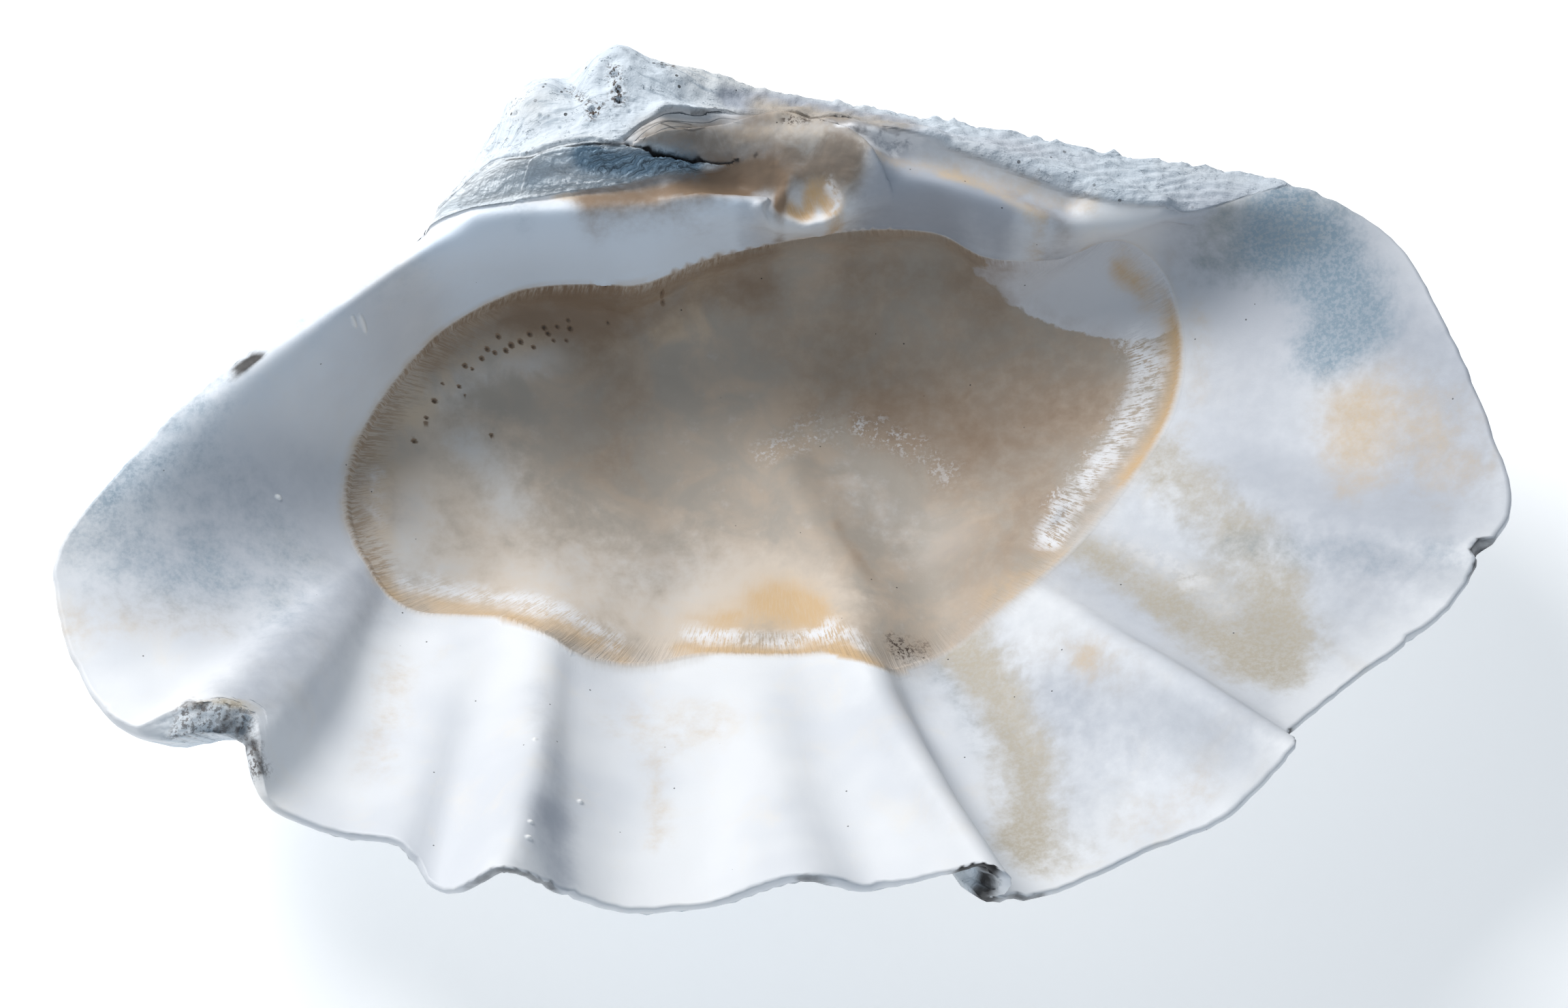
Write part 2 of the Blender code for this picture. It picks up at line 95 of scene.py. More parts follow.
# Stations round the valve, millimetres: the edge of the hollow, the crest or mid slope and the margin, then
# the drop under the edge, how far the hollow runs in under it, and the thickness of the margin there
STATIONS = (
    ("umbo_back", (-77, 141, 112), (-84, 154, 160), (-94, 252, 168), 30, 6, 22),
    ("umbo_left", (-99, 142, 110), (-106, 150, 160), (-123, 242, 158), 28, 6, 20),
    ("umbo_lobe", (-119, 143, 108), (-126, 146, 160), (-145, 236, 152), 24, 5, 18),
    ("umbo_side", (-134, 143, 106), (-142, 142, 160), (-163, 211, 148), 20, 4, 16),
    ("umbo_foot", (-149, 141, 103), (-158, 136, 159), (-181, 181, 148), 14, 3, 14),
    ("left_rim_start", (-168, 133, 100), (-179, 127, 156), (-194, 151, 152), 9, 2, 13),
    ("left_rim_a", (-190, 119, 96), (-207, 107, 148), (-229, 111, 160), 6, 0, 12),
    ("left_rim_b", (-208, 99, 92), (-235, 80, 142), (-271, 77, 162), 6, -1, 11),
    ("left_rim_c", (-223, 75, 89), (-259, 53, 136), (-311, 38, 161), 5, -2, 10),
    ("left_rim_d", (-233, 50, 87), (-278, 22, 130), (-346, -7, 159), 5, -2, 10),
    ("wing_top", (-236, 29, 86), (-287, -2, 126), (-366, -39, 157), 4, -2, 10),
    ("wing_tip", (-235, 15, 85), (-288, -19, 124), (-370, -60, 155), 4, -2, 10),
    ("wing_low", (-231, 2, 84), (-280, -45, 122), (-358, -101, 154), 3, -2, 10),
    ("ridge1_near", (-227, -8, 84), (-264, -66, 123), (-322, -146, 164), 3, -2, 12),
    ("ridge1", (-222, -16, 84), (-247, -72, 126), (-291, -147, 178), 3, -2, 13),
    ("ridge1_far", (-217, -25, 83), (-231, -81, 120), (-261, -153, 166), 3, -2, 12),
    ("valley2_start", (-209, -34, 80), (-223, -96, 108), (-251, -180, 150), 3, -2, 9),
    ("valley2", (-194, -41, 76), (-203, -103, 102), (-218, -193, 144), 2, -2, 8),
    ("valley2_far", (-171, -43, 77), (-177, -107, 105), (-187, -201, 150), 2, -2, 8),
    ("ridge2_foot", (-149, -46, 79), (-157, -119, 109), (-165, -228, 156), 2, -2, 7),
    ("ridge2", (-124, -60, 84), (-124, -125, 122), (-133, -228, 186), 2, -2, 6),
    ("ridge2_far", (-106, -69, 80), (-106, -131, 108), (-105, -228, 154), 2, -2, 7),
    ("valley3", (-81, -69, 73), (-80, -134, 98), (-78, -231, 139), 2, -2, 8),
    ("valley3_far", (-46, -62, 72), (-42, -130, 97), (-36, -228, 140), 2, -2, 8),
    ("ridge3", (-17, -65, 75), (-6, -129, 106), (11, -222, 162), 2, -2, 8),
    ("valley3b", (6, -67, 78), (18, -131, 106), (41, -225, 153), 2, -2, 8),
    ("ridge4_near", (25, -70, 85), (44, -133, 116), (76, -225, 172), 2, -2, 6),
    ("ridge4", (44, -81, 92), (63, -141, 131), (96, -229, 192), 2, -2, 5),
    ("ridge4_tip", (51, -83, 90), (72, -145, 129), (106, -234, 190), 2, -2, 5),
    ("ridge4_under", (56, -82, 84), (76, -144, 113), (106, -235, 172), 2, -2, 5),
    ("ridge4_foot", (61, -78, 79), (79, -141, 102), (99, -231, 153), 2, -2, 5),
    ("valley4", (76, -67, 75), (95, -132, 98), (125, -224, 141), 2, -2, 7),
    ("valley4_far", (95, -55, 77), (126, -118, 101), (175, -204, 146), 2, -2, 7),
    ("ridge5_near", (114, -41, 83), (154, -99, 113), (218, -189, 162), 2, -2, 7),
    ("ridge5", (129, -32, 90), (177, -85, 128), (245, -166, 188), 2, -2, 6),
    ("ridge5_foot", (137, -24, 88), (183, -71, 114), (249, -146, 160), 2, -2, 7),
    ("valley5", (153, -7, 85), (211, -47, 106), (292, -107, 147), 2, -2, 8),
    ("valley5_far", (174, 19, 86), (241, -17, 110), (336, -74, 153), 2, -2, 9),
    ("ridge6", (192, 43, 89), (256, 3, 117), (350, -55, 166), 3, -2, 9),
    ("valley6", (208, 70, 90), (273, 34, 116), (370, -22, 163), 3, -2, 9),
    ("right_a", (216, 97, 94), (277, 68, 120), (365, 23, 162), 3, -2, 10),
    ("right_b", (216, 127, 100), (271, 108, 124), (350, 77, 163), 3, -2, 10),
    ("right_c", (208, 151, 108), (255, 142, 134), (327, 133, 166), 3, -2, 11),
    ("shoulder", (193, 163, 117), (221, 157, 146), (286, 165, 168), 2, -2, 12),
    ("crest_a", (177, 165, 120), (184, 150, 150), (238, 184, 162), 2, -1, 14),
    ("crest_b", (148, 154, 118), (150, 148, 154), (179, 197, 160), 8, 1, 14),
    ("crest_c", (112, 152, 122), (110, 158, 160), (120, 211, 161), 20, 4, 14),
    ("crest_d", (82, 166, 126), (76, 169, 162), (56, 224, 162), 26, 6, 14),
    ("crest_e", (43, 168, 126), (45, 166, 152), (4, 234, 162), 30, 6, 16),
    ("umbo_right", (0, 162, 124), (0, 158, 142), (-41, 244, 162), 30, 6, 18),
    ("umbo_top", (-43, 153, 118), (-49, 159, 158), (-69, 247, 164), 30, 6, 20),
)

# Raised and sunken strokes above the hollow's edge, millimetres: line, half width, height
HINGE_STROKES = (
    ("trough", ((-168, 160), (-110, 168), (-60, 174), (-28, 179)), 9, -8),
    ("roll_tip", ((-56, 157), (-30, 158), (-15, 160)), 9, 6),
    ("umbo_swell", ((-116, 220), (-78, 226)), 30, 12),
    ("umbo_lobe", ((-142, 224), (-136, 230)), 15, 10),
    ("umbo_knob", ((-95, 238), (-92, 246)), 12, 10),
    ("umbo_shoulder", ((-64, 236), (-40, 234)), 11, 6),
    ("umbo_pit", ((-98, 224), (-94, 236)), 5, -5),
    ("umbo_saddle", ((-120, 240), (-114, 222)), 6, -5),
    ("ligament", ((-178, 162), (-150, 174), (-115, 179), (-86, 182)), 9, 4),
    ("tooth", ((-62, 190), (-35, 196), (-5, 203), (25, 195), (46, 181)), 12, 11),
    ("tooth_face", ((-20, 188), (10, 190), (38, 180)), 11, 7),
    ("plate", ((-64, 206), (-30, 214), (6, 214)), 5, 5),
    ("cleft", ((-70, 183), (-50, 183.6)), 1.9, -6),
    ("cleft_ends", ((-84, 186), (-70, 183), (-50, 183.6), (-36, 185), (-29, 186.6)), 1.1, -3),
    ("roll", ((-165, 144), (-130, 148), (-95, 151), (-56, 155), (-25, 159)), 8, 6.5),
    ("socket", ((12, 168), (19, 169)), 8, -7),
    ("socket_rim", ((-4, 168), (6, 180), (22, 180), (33, 170)), 4, 3),
    ("hinge_ledge", ((-12, 160), (30, 158)), 5, 5),
    ("groove", ((60, 190), (105, 176), (150, 162)), 9, -8),
    ("ridge7", ((56, 172), (84, 168), (112, 160), (140, 152)), 7, 3),
    ("white_ledge", ((38, 200), (81, 196)), 5, 4),
    ("rim", ((26, 209), (81, 196), (127, 184), (168, 170), (202, 158)), 6, 6),
)

# Banks above the hollow's edge: line (higher on its left), width of the step, reach behind it, height
BANKS = (
    ("umbo_over_ligament", ((-192, 160), (-176, 172), (-159, 187), (-138, 184), (-122, 188), (-104, 189),
                            (-90, 186), (-78, 196), (-62, 204), (-46, 209)), 1.6, 9, 2.4),
    ("umbo_over_plate", ((-62, 204), (-46, 209), (-32, 217), (-10, 218), (4, 214), (26, 209)), 1.6, 9, 3.2),
    ("ligament_edge", ((-190, 147), (-167, 149), (-142, 156), (-118, 163), (-93, 167), (-72, 172),
                       (-51, 177), (-32, 184)), 1.8, 8, 2.6),
    ("tooth_over_plate", ((52, 176), (43, 188), (28, 199), (9, 210), (-8, 214), (-23, 211), (-37, 203),
                          (-55, 193), (-74, 188)), 1.6, 9, 4.0),
    ("tooth_end", ((60, 166), (52, 175), (44, 186), (36, 194)), 4.0, 15, 3.5),
    ("roll_end", ((-2, 154), (-11, 159), (-8.5, 169.5), (-22, 166.5), (-42, 163)), 2.0, 10, 3.0),
    ("flake", ((-102, 184), (-119, 184.5), (-134, 181), (-138, 175), (-141, 166)), 1.2, 10, 2.2),
    ("thin_plate", ((22, 203), (44, 196), (63, 194), (84, 191)), 1.4, 6, 2.4),
    ("band_over_groove", ((60, 197), (106, 184), (139, 172), (176, 159), (204, 156)), 2.2, 8, 2.6),
)

# Strokes like those above the edge, for the floor of the hollow and the lower slope
FLOOR_STROKES = (
    ("ridge4_root", ((50, -78), (40, -20), (18, 25), (0, 55)), 17, 9),
    ("valley4_root", ((88, -60), (80, -15), (70, 20)), 20, -6),
    ("ridge2_root", ((-122, -60), (-128, -10), (-140, 35)), 20, 6),
    ("valley3_root", ((-60, -60), (-55, 0), (-60, 40)), 26, -4),
)

# Layers of the outer band: how far apart along the margin, and how much they slant towards it
CREST_LAYER = 21.0
CREST_SLANT = 1.9

# Sizes of the lumps in the surface, gaps between growth lines and between the ligament's layers, the
# band inside the hollow's edge that is cut finer, and how far the notch is broken back, millimetres
COARSE_LUMP = 42.0
MEDIUM_LUMP = 13.0
FINE_LUMP = 4.0
GROWTH_LINE_GAP = 4.6
LIGAMENT_LAYER = 3.1
FINE_EDGE = 9.0
NOTCH_DEPTH = 14.0

# Lines that bound the chalky outer band and the ligament, in plan, millimetres
BAND_FOOT = ((-200, 152), (-190, 160), (-176, 172), (-159, 187), (-138, 183), (-122, 187), (-104, 188),
             (-90, 186), (-78, 196), (-62, 204), (-46, 209), (-32, 217), (0, 213), (26, 208), (60, 198),
             (106, 184), (139, 172), (176, 159), (215, 156), (253, 166), (285, 176), (320, 200))
LIGAMENT_TOP = ((-200, 152), (-190, 160), (-176, 172), (-159, 187), (-138, 183), (-122, 187), (-104, 188),
                (-90, 186), (-57, 184.5), (-39, 184), (-26, 184.5), (-15, 184))
LIGAMENT_FOOT = ((-190, 147), (-167, 149), (-142, 156), (-118, 163), (-93, 167), (-72, 172), (-51, 177),
                 (-32, 184), (-20, 190))

# Small round holes bored in the hollow, and pits in the umbo, millimetres: x, y and radius, and for the
# pits also their depth
BORES = ((-120, 136, 1.4), (-121, 139.5, 1.0), (-127, 136, 1.1), (-134, 134.5, 1.4), (-132, 132, 1.2),
         (-142, 130, 1.2), (-147, 125.5, 1.2), (-152, 123, 1.3), (-155, 120, 1.1), (-159, 126, 1.1),
         (-165, 119, 1.1), (-161, 118, 1.0), (-140, 124, 0.9), (-129, 129, 0.8), (-122, 130, 0.8),
         (-168, 114, 1.1), (-177, 109, 1.1), (-173, 108, 0.7), (-180, 98, 0.9), (-189, 98, 0.7),
         (-177, 94, 0.7), (-193, 88, 1.3), (-197, 78, 0.9), (-197, 74.5, 1.3), (-187, 77, 0.8),
         (-203, 64, 1.2), (-162, 74, 1.0), (-138, 85, 0.8), (-99, 140, 0.8), (-68, 148, 0.9))
PITS = ((-92, 229, 3.4, 4.0), (-90, 219, 3.0, 4.5), (-89, 212, 2.4, 3.5), (-116, 228, 2.0, 2.0),
        (-112, 223, 1.8, 2.2), (-109, 218, 1.9, 2.2), (-104, 208, 2.2, 2.5), (-102, 203, 1.6, 2.0),
        (-76, 222, 1.8, 2.5), (-65, 240, 2.8, 2.0), (-70, 233, 1.4, 1.8), (-61, 229, 1.3, 1.5),
        (-147, 214, 1.9, 2.0), (-150, 224, 1.4, 1.5), (-132, 208, 1.8, 2.2), (-162, 200, 1.5, 1.8),
        (-170, 188, 1.5, 1.6), (-121, 199, 1.3, 1.5), (-55, 222, 1.3, 1.5), (-140, 235, 1.5, 1.5),
        (-178, 176, 1.3, 1.4), (-83, 205, 1.2, 1.2), (-127, 245, 1.2, 1.4), (-96, 236, 1.1, 1.5))

# Small white beads of shell on the slope, and chips in the margin with their depth, the same way
BEADS = ((-228, 91, 1.3), (-224, 93, 1.5), (-268, 9, 1.4), (-102, -169, 1.3), (-125, -139, 1.1),
         (-123, -206, 1.4), (-123, -196, 1.2))
CHIPS = ((354, -48, 9, 7.0), (-280, 62, 6, 3.0), (112, -228, 5, 3.0))

# Stains, painted shade and painted light in plan, millimetres. A stroke is its half width, its strength,
# and x and y of each of its points. Those of the hollow and its edge come first, then those of the slope
# and of the outside. The shade strokes are painted shade and the sky strokes painted light; the lilac,
# blue and dark ones are partly painted shade.
EDGE_STAINS = {
    "bristle": (
        (15, 1.0, -50, 154, -92, 150, -120, 147, -150, 139, -180, 121, -205, 97, -222, 70, -231, 40, -231,
         10, -225, -12),
    ),
    "blur": (
        (16, 1.0, 66, -72, 95, -55, 130, -30, 165, 8, 190, 40), (10, 0.9, -100, -70, -70, -68, -48, -63),
    ),
}
HOLLOW_STAINS_AND_SHADE = {
    "scar": (
        (15, 1.0, 120, 166, 150, 153, 178, 143, 203, 134), (9, 1.0, 182, 160, 204, 146),
    ),
    "orange": (
        (6, 0.8, 186, 156, 200, 146, 210, 132, 214, 110, 209, 80, 198, 54, 184, 34),
        (13, 0.62, -28, -38, -4, -39, 14, -41), (10, 0.6, -4, -26, 8, -30), (12, 0.35, -10, -16, 2, -18),
        (7, 0.5, 14, -38, 28, -52), (9, 0.35, -52, -38, -36, -44),
        (4.5, 0.9, -56, -58, -42, -58, -11, -62, 19, -63, 34, -72), (5, 0.9, 29, -69, 40, -78, 47, -85),
        (12, 0.5, 147, -10, 133, -25, 116, -34), (7, 0.75, -208, -30, -171, -38, -124, -52, -87, -64),
        (4, 0.5, -232, 0, -216, -24),
    ),
    "brown": (
        (8, 0.3, -164, 134, -194, 113, -214, 88, -228, 62, -233, 39, -231, 10),
        (9, 0.6, -150, 139, -120, 143, -82, 143, -45, 155, -10, 160),
        (24, 0.42, -100, 122, -92, 95, -110, 70), (30, 0.5, 100, 60, 140, 66, 172, 90),
        (32, 0.42, 78, 112, 128, 112), (20, 0.4, 92, -8, 120, -2, 140, 20),
        (14, 0.4, -190, 112, -160, 128, -120, 138), (14, 0.35, -210, 60, -215, 40, -212, 20),
        (12, 0.4, 40, 168, 80, 164, 115, 150), (4.5, 0.45, 28, 22, 36, 6, 46, -16),
        (8, 0.45, 58, -58, 66, -66, 72, -60), (13, 0.25, -87, 59, -78, 34, -73, 8),
        (20, 0.3, 30, 112, 55, 100), (25, 0.3, -10, 140, 30, 145), (10, 0.25, -52, -55, -95, -60),
        (24, 0.2, 20, 90, 60, 80, 110, 80),
    ),
    "pale": (
        (12, 0.7, -173, 66, -159, 51, -150, 31), (22, 0.4, 45, 50, 56, 30, 82, 8),
        (22, 0.5, -200, 0, -190, -20), (12, 0.4, -205, 30, -215, 5, -200, -22),
        (35, 0.45, -120, -20, -60, -15), (9, 0.55, -188, 92, -162, 110, -130, 122),
    ),
    "white": (
        (11, 0.4, -9, 70, 18, 85, 44, 87, 70, 73, 87, 57),
        (8.5, 0.95, 145, 2, 151, 20, 162, 38, 175, 53, 192, 78, 199, 100, 195, 122),
        (5, 0.9, -52, -46, -31, -51, -1, -56, 14, -53, 24, -58), (5, 0.6, 24, -44, 33, -57, 42, -71),
        (6, 0.8, -200, -22, -159, -29, -122, -42, -90, -56), (7, 0.4, -222, 10, -224, 40),
    ),
    "cream": (
        (24, 0.9, -46, -42, -12, -20, 18, -40),
        (20, 0.7, -216, 30, -205, -8, -170, -28, -120, -38, -60, -44),
        (26, 0.5, -205, 70, -180, 40, -160, 0, -110, -10), (28, 0.3, -150, 60, -120, 30, -70, 20, -30, 0),
    ),
    "soot": (
        (4, 0.9, 58, -58, 61, -64), (8, 0.6, 64, -66, 70, -60), (2.0, 0.8, 36, -72, 44, -76),
    ),
    # Partly painted shade: the faint stroke beside the fourth fold's root; the others darken the floor's
    # middle and the side of the white streak
    "dark": (
        (7, 0.1, 9, -1, 25, -22, 38, -48), (9, 0.22, -4, 79, 9, 90, 35, 95, 61, 86),
        (4, 0.4, 146, 8, 151, 24, 158, 34),
    ),
}
SLOPE_STAINS_AND_SHADING = {
    "dun": (
        (12, 0.95, -70, 189, -50, 190, -34, 194, -8, 200, 17, 192, 34, 184),
        (8, 0.6, -8, 178, 14, 184, 34, 176), (8, 0.85, -14, 224, 25, 213, 62, 203),
        (3, 0.3, -64, 195, -46, 200, -30, 212, -8, 214, 14, 209),
    ),
    # Painted shade: darkens the folds' far flanks, the right side, the left wing, the hinge's grooves and
    # the roll's tip; on the outer band it is partly the band's own grey
    "shade": (
        (20, 0.62, -221, -30, -240, -64, -256, -98, -266, -125),
        (7, 1.1, -30, 228, 0, 226, 34, 217, 66, 208), (9, 0.35, -128, -100, -116, -145, -110, -185),
        (9, 0.7, -116, -185, -108, -222), (11, 0.75, 52, 184, 100, 174, 150, 158),
        (8, 1.0, -14, 222, 25, 210, 60, 200), (5, 0.4, -22, 157, -10, 160, -9, 168),
        (8, 0.7, 44, 168, 84, 164, 116, 156), (12, 0.5, 215, 155, 240, 158, 262, 150),
        (36, 0.52, 170, -20, 215, -45, 262, -75), (28, 0.52, 95, -75, 122, -120, 140, -170),
        (24, 0.5, 150, -100, 190, -130, 225, -150), (36, 0.45, 240, 20, 290, -10, 330, -40),
        (26, 0.6, 330, 90, 345, 50, 345, 10), (20, 0.4, -324, -45, -289, -12, -258, 22),
        (16, 0.2, 40, -110, 60, -150, 80, -200),
    ),
    "olive": (
        (12, 0.85, 150, -5, 174, -20, 193, -42, 214, -70, 233, -96, 247, -105),
        (15, 0.7, 200, 48, 218, 20, 240, -16, 256, -48, 257, -85), (14, 0.5, 220, -40, 240, -60, 245, -85),
        (14, 1.0, 95, -62, 108, -90, 118, -122, 124, -155, 119, -190),
        (10, 0.3, 150, -200, 124, -205, 118, -190), (12, 0.15, -180, -75, -200, -120),
        (16, 0.6, 240, 160, 262, 150, 280, 150), (6, 0.8, -290, -150, -272, -143),
    ),
    "brown": (
        (9, 1.0, -104, 159, -78, 163, -54, 167, -30, 173), (9, 0.85, -45, 172, -25, 178, -10, 184),
        (5, 0.4, -36, 178, -12, 182, 14, 182, 34, 177), (3.5, 0.6, -3, 161, -2, 170),
        (4, 0.3, 122, 167, 139, 156, 152, 148), (4, 0.4, -19, 209, -8, 212), (3, 0.6, -3, 166, -1, 178),
    ),
    # Lilac tint, partly painted shade: the broad strokes on the wings and the right side darken them as if
    # farther from the lamp
    "lilac_and_shade": (
        (42, 0.8, 300, 120, 330, 70, 335, 20), (32, 0.6, 225, 150, 250, 110, 240, 60, 260, 10, 300, -50),
        (40, 0.6, -250, 10, -290, -10, -300, -50), (9, 0.5, -20, 215, 60, 203, 130, 190),
        (18, 0.5, 150, -20, 200, -70, 235, -120), (10, 0.4, 120, 200, 160, 190),
    ),
    "tan": (
        (13, 0.6, 304, 50, 302, 30, 301, 9), (22, 0.5, 305, 56, 333, 36, 344, 6),
        (6, 0.5, 154, -88, 156, -84), (14, 0.35, 173, -188, 200, -175),
        (6, 0.55, 46, 184, 80, 182, 120, 173, 165, 159), (16, 0.34, -358, -88, -330, -75, -290, -74),
        (12, 0.36, -203, -80, -206, -150), (3.5, 0.6, 86, 176, 106, 170, 126, 159, 138, 152),
        (3.5, 0.7, -122, 163, -104, 161, -92, 164), (8, 0.25, -30, 200, 0, 204, 20, 196),
        (14, 0.3, 130, -75, 150, -80, 170, -100), (18, 0.3, -85, -110, -40, -112),
        (8, 0.34, -66, -130, -62, -190), (7, 0.3, 214, 150, 228, 120, 224, 80, 206, 40),
        (8, 0.6, -10, 224, 30, 214, 70, 206),
    ),
    "orange": (
        (4.5, 1.0, 3, 167, 12, 167, 15, 174, 22, 172, 27, 165),
    ),
    # Blue of the ligament and the band; on the wings and the right side it is partly painted shade, the
    # bluish grey of faces turned from the lamp
    "blue_and_shade": (
        (17, 1.2, 269, 155, 286, 141, 298, 118, 304, 100, 294, 92),
        (26, 0.5, -352, -19, -340, -42, -310, -50), (16, 0.5, -340, 5, -310, 40),
        (26, 0.3, -290, 0, -262, -30, -262, -60), (5.5, 1.0, -106, 180, -96, 178, -76, 178, -50, 181),
        (6, 0.4, -136, 170, -122, 178, -108, 181), (10, 0.35, 235, -18, 290, -35, 345, -52),
        (18, 0.3, -300, 60, -250, 95, -200, 135), (14, 0.4, 230, 150, 262, 147),
        (6, 0.3, 80, -75, 92, -100, 100, -130), (8, 0.3, -180, 160, -140, 150),
    ),
    # Painted light: a bluish brightening of the roll's front, the groove and the left wing, faces turned
    # from the lamp
    "sky": (
        (11, 1.0, -190, 132, -150, 140, -110, 145, -66, 149, -28, 158),
        (9, 0.5, 60, 165, 100, 160, 140, 150), (22, 0.5, -340, 0, -300, 40, -240, 90),
    ),
    "white": (
        (10, 0.4, 168, 8, 183, -8, 206, -28, 228, -54), (6, 1.0, -136, 168, -127, 177, -112, 180),
        (2.6, 0.9, 30, 198, 52, 195.5, 73, 193.5), (2.6, 0.7, 45, 190, 60, 190),
        (2.5, 0.8, 26, 164, 29, 168, 24, 175), (4, 0.5, 46, 176, 44, 183),
    ),
    "soot": (
        (4.0, 0.9, -93, 233, -90, 213), (2.6, 0.8, -118, 229, -103, 206), (3.5, 0.7, -104, 203, -100, 209),
        (3.2, 0.9, -66, 240, -62, 241), (3.0, 0.8, 1, 208, 12, 206),
        (5.0, 0.7, -300, -150, -270, -154, -258, -165),
    ),
    # Dark marks, partly painted shade: the thin lines along the cleft and the seams between umbo, plates and
    # ligament are shade in crevices; the rest are dark marks
    "dark": (
        (3.0, 1.5, -286, 57, -277, 65), (0.5, 1.0, -84, 186, -68, 183, -50, 183.6, -36, 185, -25, 187),
        (1.2, 1.0, -74, 183.6, -62, 182.6, -46, 183.8), (0.8, 0.7, -150, 184, -136, 181.5, -121, 185),
        (0.8, 0.8, -118, 185.5, -104, 186.5, -92, 185.4, -84, 186.6),
        (0.6, 0.7, -66, 196, -58, 193.6, -50, 193, -43, 198),
        (0.6, 0.6, -86, 188, -76, 194, -64, 198, -50, 200.5),
        (0.7, 0.6, -50, 207, -40, 212, -30, 217.6, -10, 216), (0.9, 0.6, -16, 189, -15, 190),
        (1.5, 0.6, -301, -146, -290, -148), (1.6, 0.7, -278, -150, -262, -156, -256, -168),
    ),
}
OUTSIDE_STAINS_AND_SHADOWS = {
    # Partly painted shadow: the dark hollows under the ends of the fourth and fifth folds and the shaded
    # underside of the lip; the rest are dark marks at chips
    "dark": (
        (6, 1.5, 88, -227, 97, -227, 101, -220), (3.5, 0.8, -150, -234, -133, -231, -112, -230),
        (3, 0.7, 8, -224, 20, -226), (3, 0.8, 112, -230, 125, -227), (5, 1.4, 242, -160, 248, -150),
        (3.0, 1.5, -286, 57, -277, 65), (5, 0.9, 346, -58, 352, -50, 356, -44),
    ),
}


def hermite(t, start, leave, end, arrive):
    """A cubic from start to end, for t from 0 to 1, with its speeds where it leaves and arrives."""
    return ((2 * t**3 - 3 * t**2 + 1) * start + (t**3 - 2 * t**2 + t) * leave
            + (3 * t**2 - 2 * t**3) * end + (t**3 - t**2) * arrive)


def closed_spline(knots, values, where):
    """Periodic cubic through the rows of values; knots has one more number, the full turn."""
    spans = np.diff(knots)
    before = np.roll(spans, 1)
    slopes = (np.roll(values, -1, axis=0) - values) / spans[:, None]
    tangents = spans[:, None] * np.roll(slopes, 1, axis=0) + before[:, None] * slopes
    tangents = tangents / (spans + before)[:, None]
    where = np.mod(where, knots[-1])
    i = np.clip(np.searchsorted(knots, where, side="right") - 1, 0, len(values) - 1)
    j = (i + 1) % len(values)
    span = spans[i][:, None]
    t = ((where - knots[i]) / spans[i])[:, None]
    return hermite(t, values[i], span * tangents[i], values[j], span * tangents[j])


def unit(vectors):
    return vectors / np.linalg.norm(vectors, axis=1)[:, None]


def smooth_step(low, high, value):
    t = np.clip((value - low) / (high - low), 0.0, 1.0)
    return t * t * (3.0 - 2.0 * t)


def distance_to_line(points, line):
    """Distance in plan from each point to a line of several straight runs."""
    return np.abs(signed_distance(points, np.array(line, float)))


def distance_to_spot(points, x, y):
    return np.hypot(points[:, 0] - x, points[:, 1] - y)


def stroke_share(plan, line, half_width):
    """How much of a stroke is felt at points in plan: all on its line, half at its half width."""
    return np.exp(-0.7 * (distance_to_line(plan, line) / half_width) ** 2)


def strokes_height(plan, strokes):
    """Sum of the raised and sunken strokes at points in plan."""
    total = np.zeros(len(plan))
    for name, line, half_width, height in strokes:
        total += height * stroke_share(plan, line, half_width)
    return total


def smooth_outline(points, width):
    """A closed line of evenly placed points, smoothed over a length of about width each way."""
    gap = np.linalg.norm(np.roll(points, -1, axis=0) - points, axis=1).mean()
    reach = int(round(2.5 * width / gap))
    shares = {shift: math.exp(-0.5 * (shift * gap / width) ** 2) for shift in range(-reach, reach + 1)}
    total = sum(share * np.roll(points, shift, axis=0) for shift, share in shares.items())
    return total / sum(shares.values())


def smooth_line(points, steps=6):
    """A line through the points with rounded corners."""
    knots = np.array([points[0], *points, points[-1]], float)
    places = []
    for a, b, c, d in zip(knots[:-3], knots[1:-2], knots[2:-1], knots[3:]):
        for t in np.arange(steps) / steps:
            places.append(0.5 * (2 * b + (c - a) * t + (2 * a - 5 * b + 4 * c - d) * t**2
                                 + (3 * b - a - 3 * c + d) * t**3))
    places.append(knots[-1])
    return np.array(places)


def signed_distance(points, line):
    """Distance in plan from each point to a line, positive on the left of its way."""
    best = np.full(len(points), np.inf)
    signed = np.zeros(len(points))
    for start, end in zip(line[:-1], line[1:]):
        run = end - start
        offset = points - start
        t = np.clip((offset @ run) / (run @ run), 0.0, 1.0)
        gap = np.linalg.norm(offset - t[:, None] * run, axis=1)
        side = run[0] * offset[:, 1] - run[1] * offset[:, 0]
        signed = np.where(gap < best, np.copysign(gap, side), signed)
        best = np.minimum(best, gap)
    return signed


def bank_heights(plan, banks):
    """Sum of the banks at points in plan: a step up at each line that dies away behind it."""
    total = np.zeros(len(plan))
    for name, line, width, reach, height in banks:
        signed = signed_distance(plan, smooth_line(line))
        step = smooth_step(-width / 2, width / 2, signed)
        total += height * step * np.exp(-(np.maximum(signed, 0.0) / reach) ** 2)
    return total


def noise_at(points, size, octaves=3):
    """Smooth noise between about -1 and 1, with lumps of the size given."""
    return np.array([noise.fractal(Vector(p), 1.0, 2.0, octaves) for p in (points / size).tolist()])


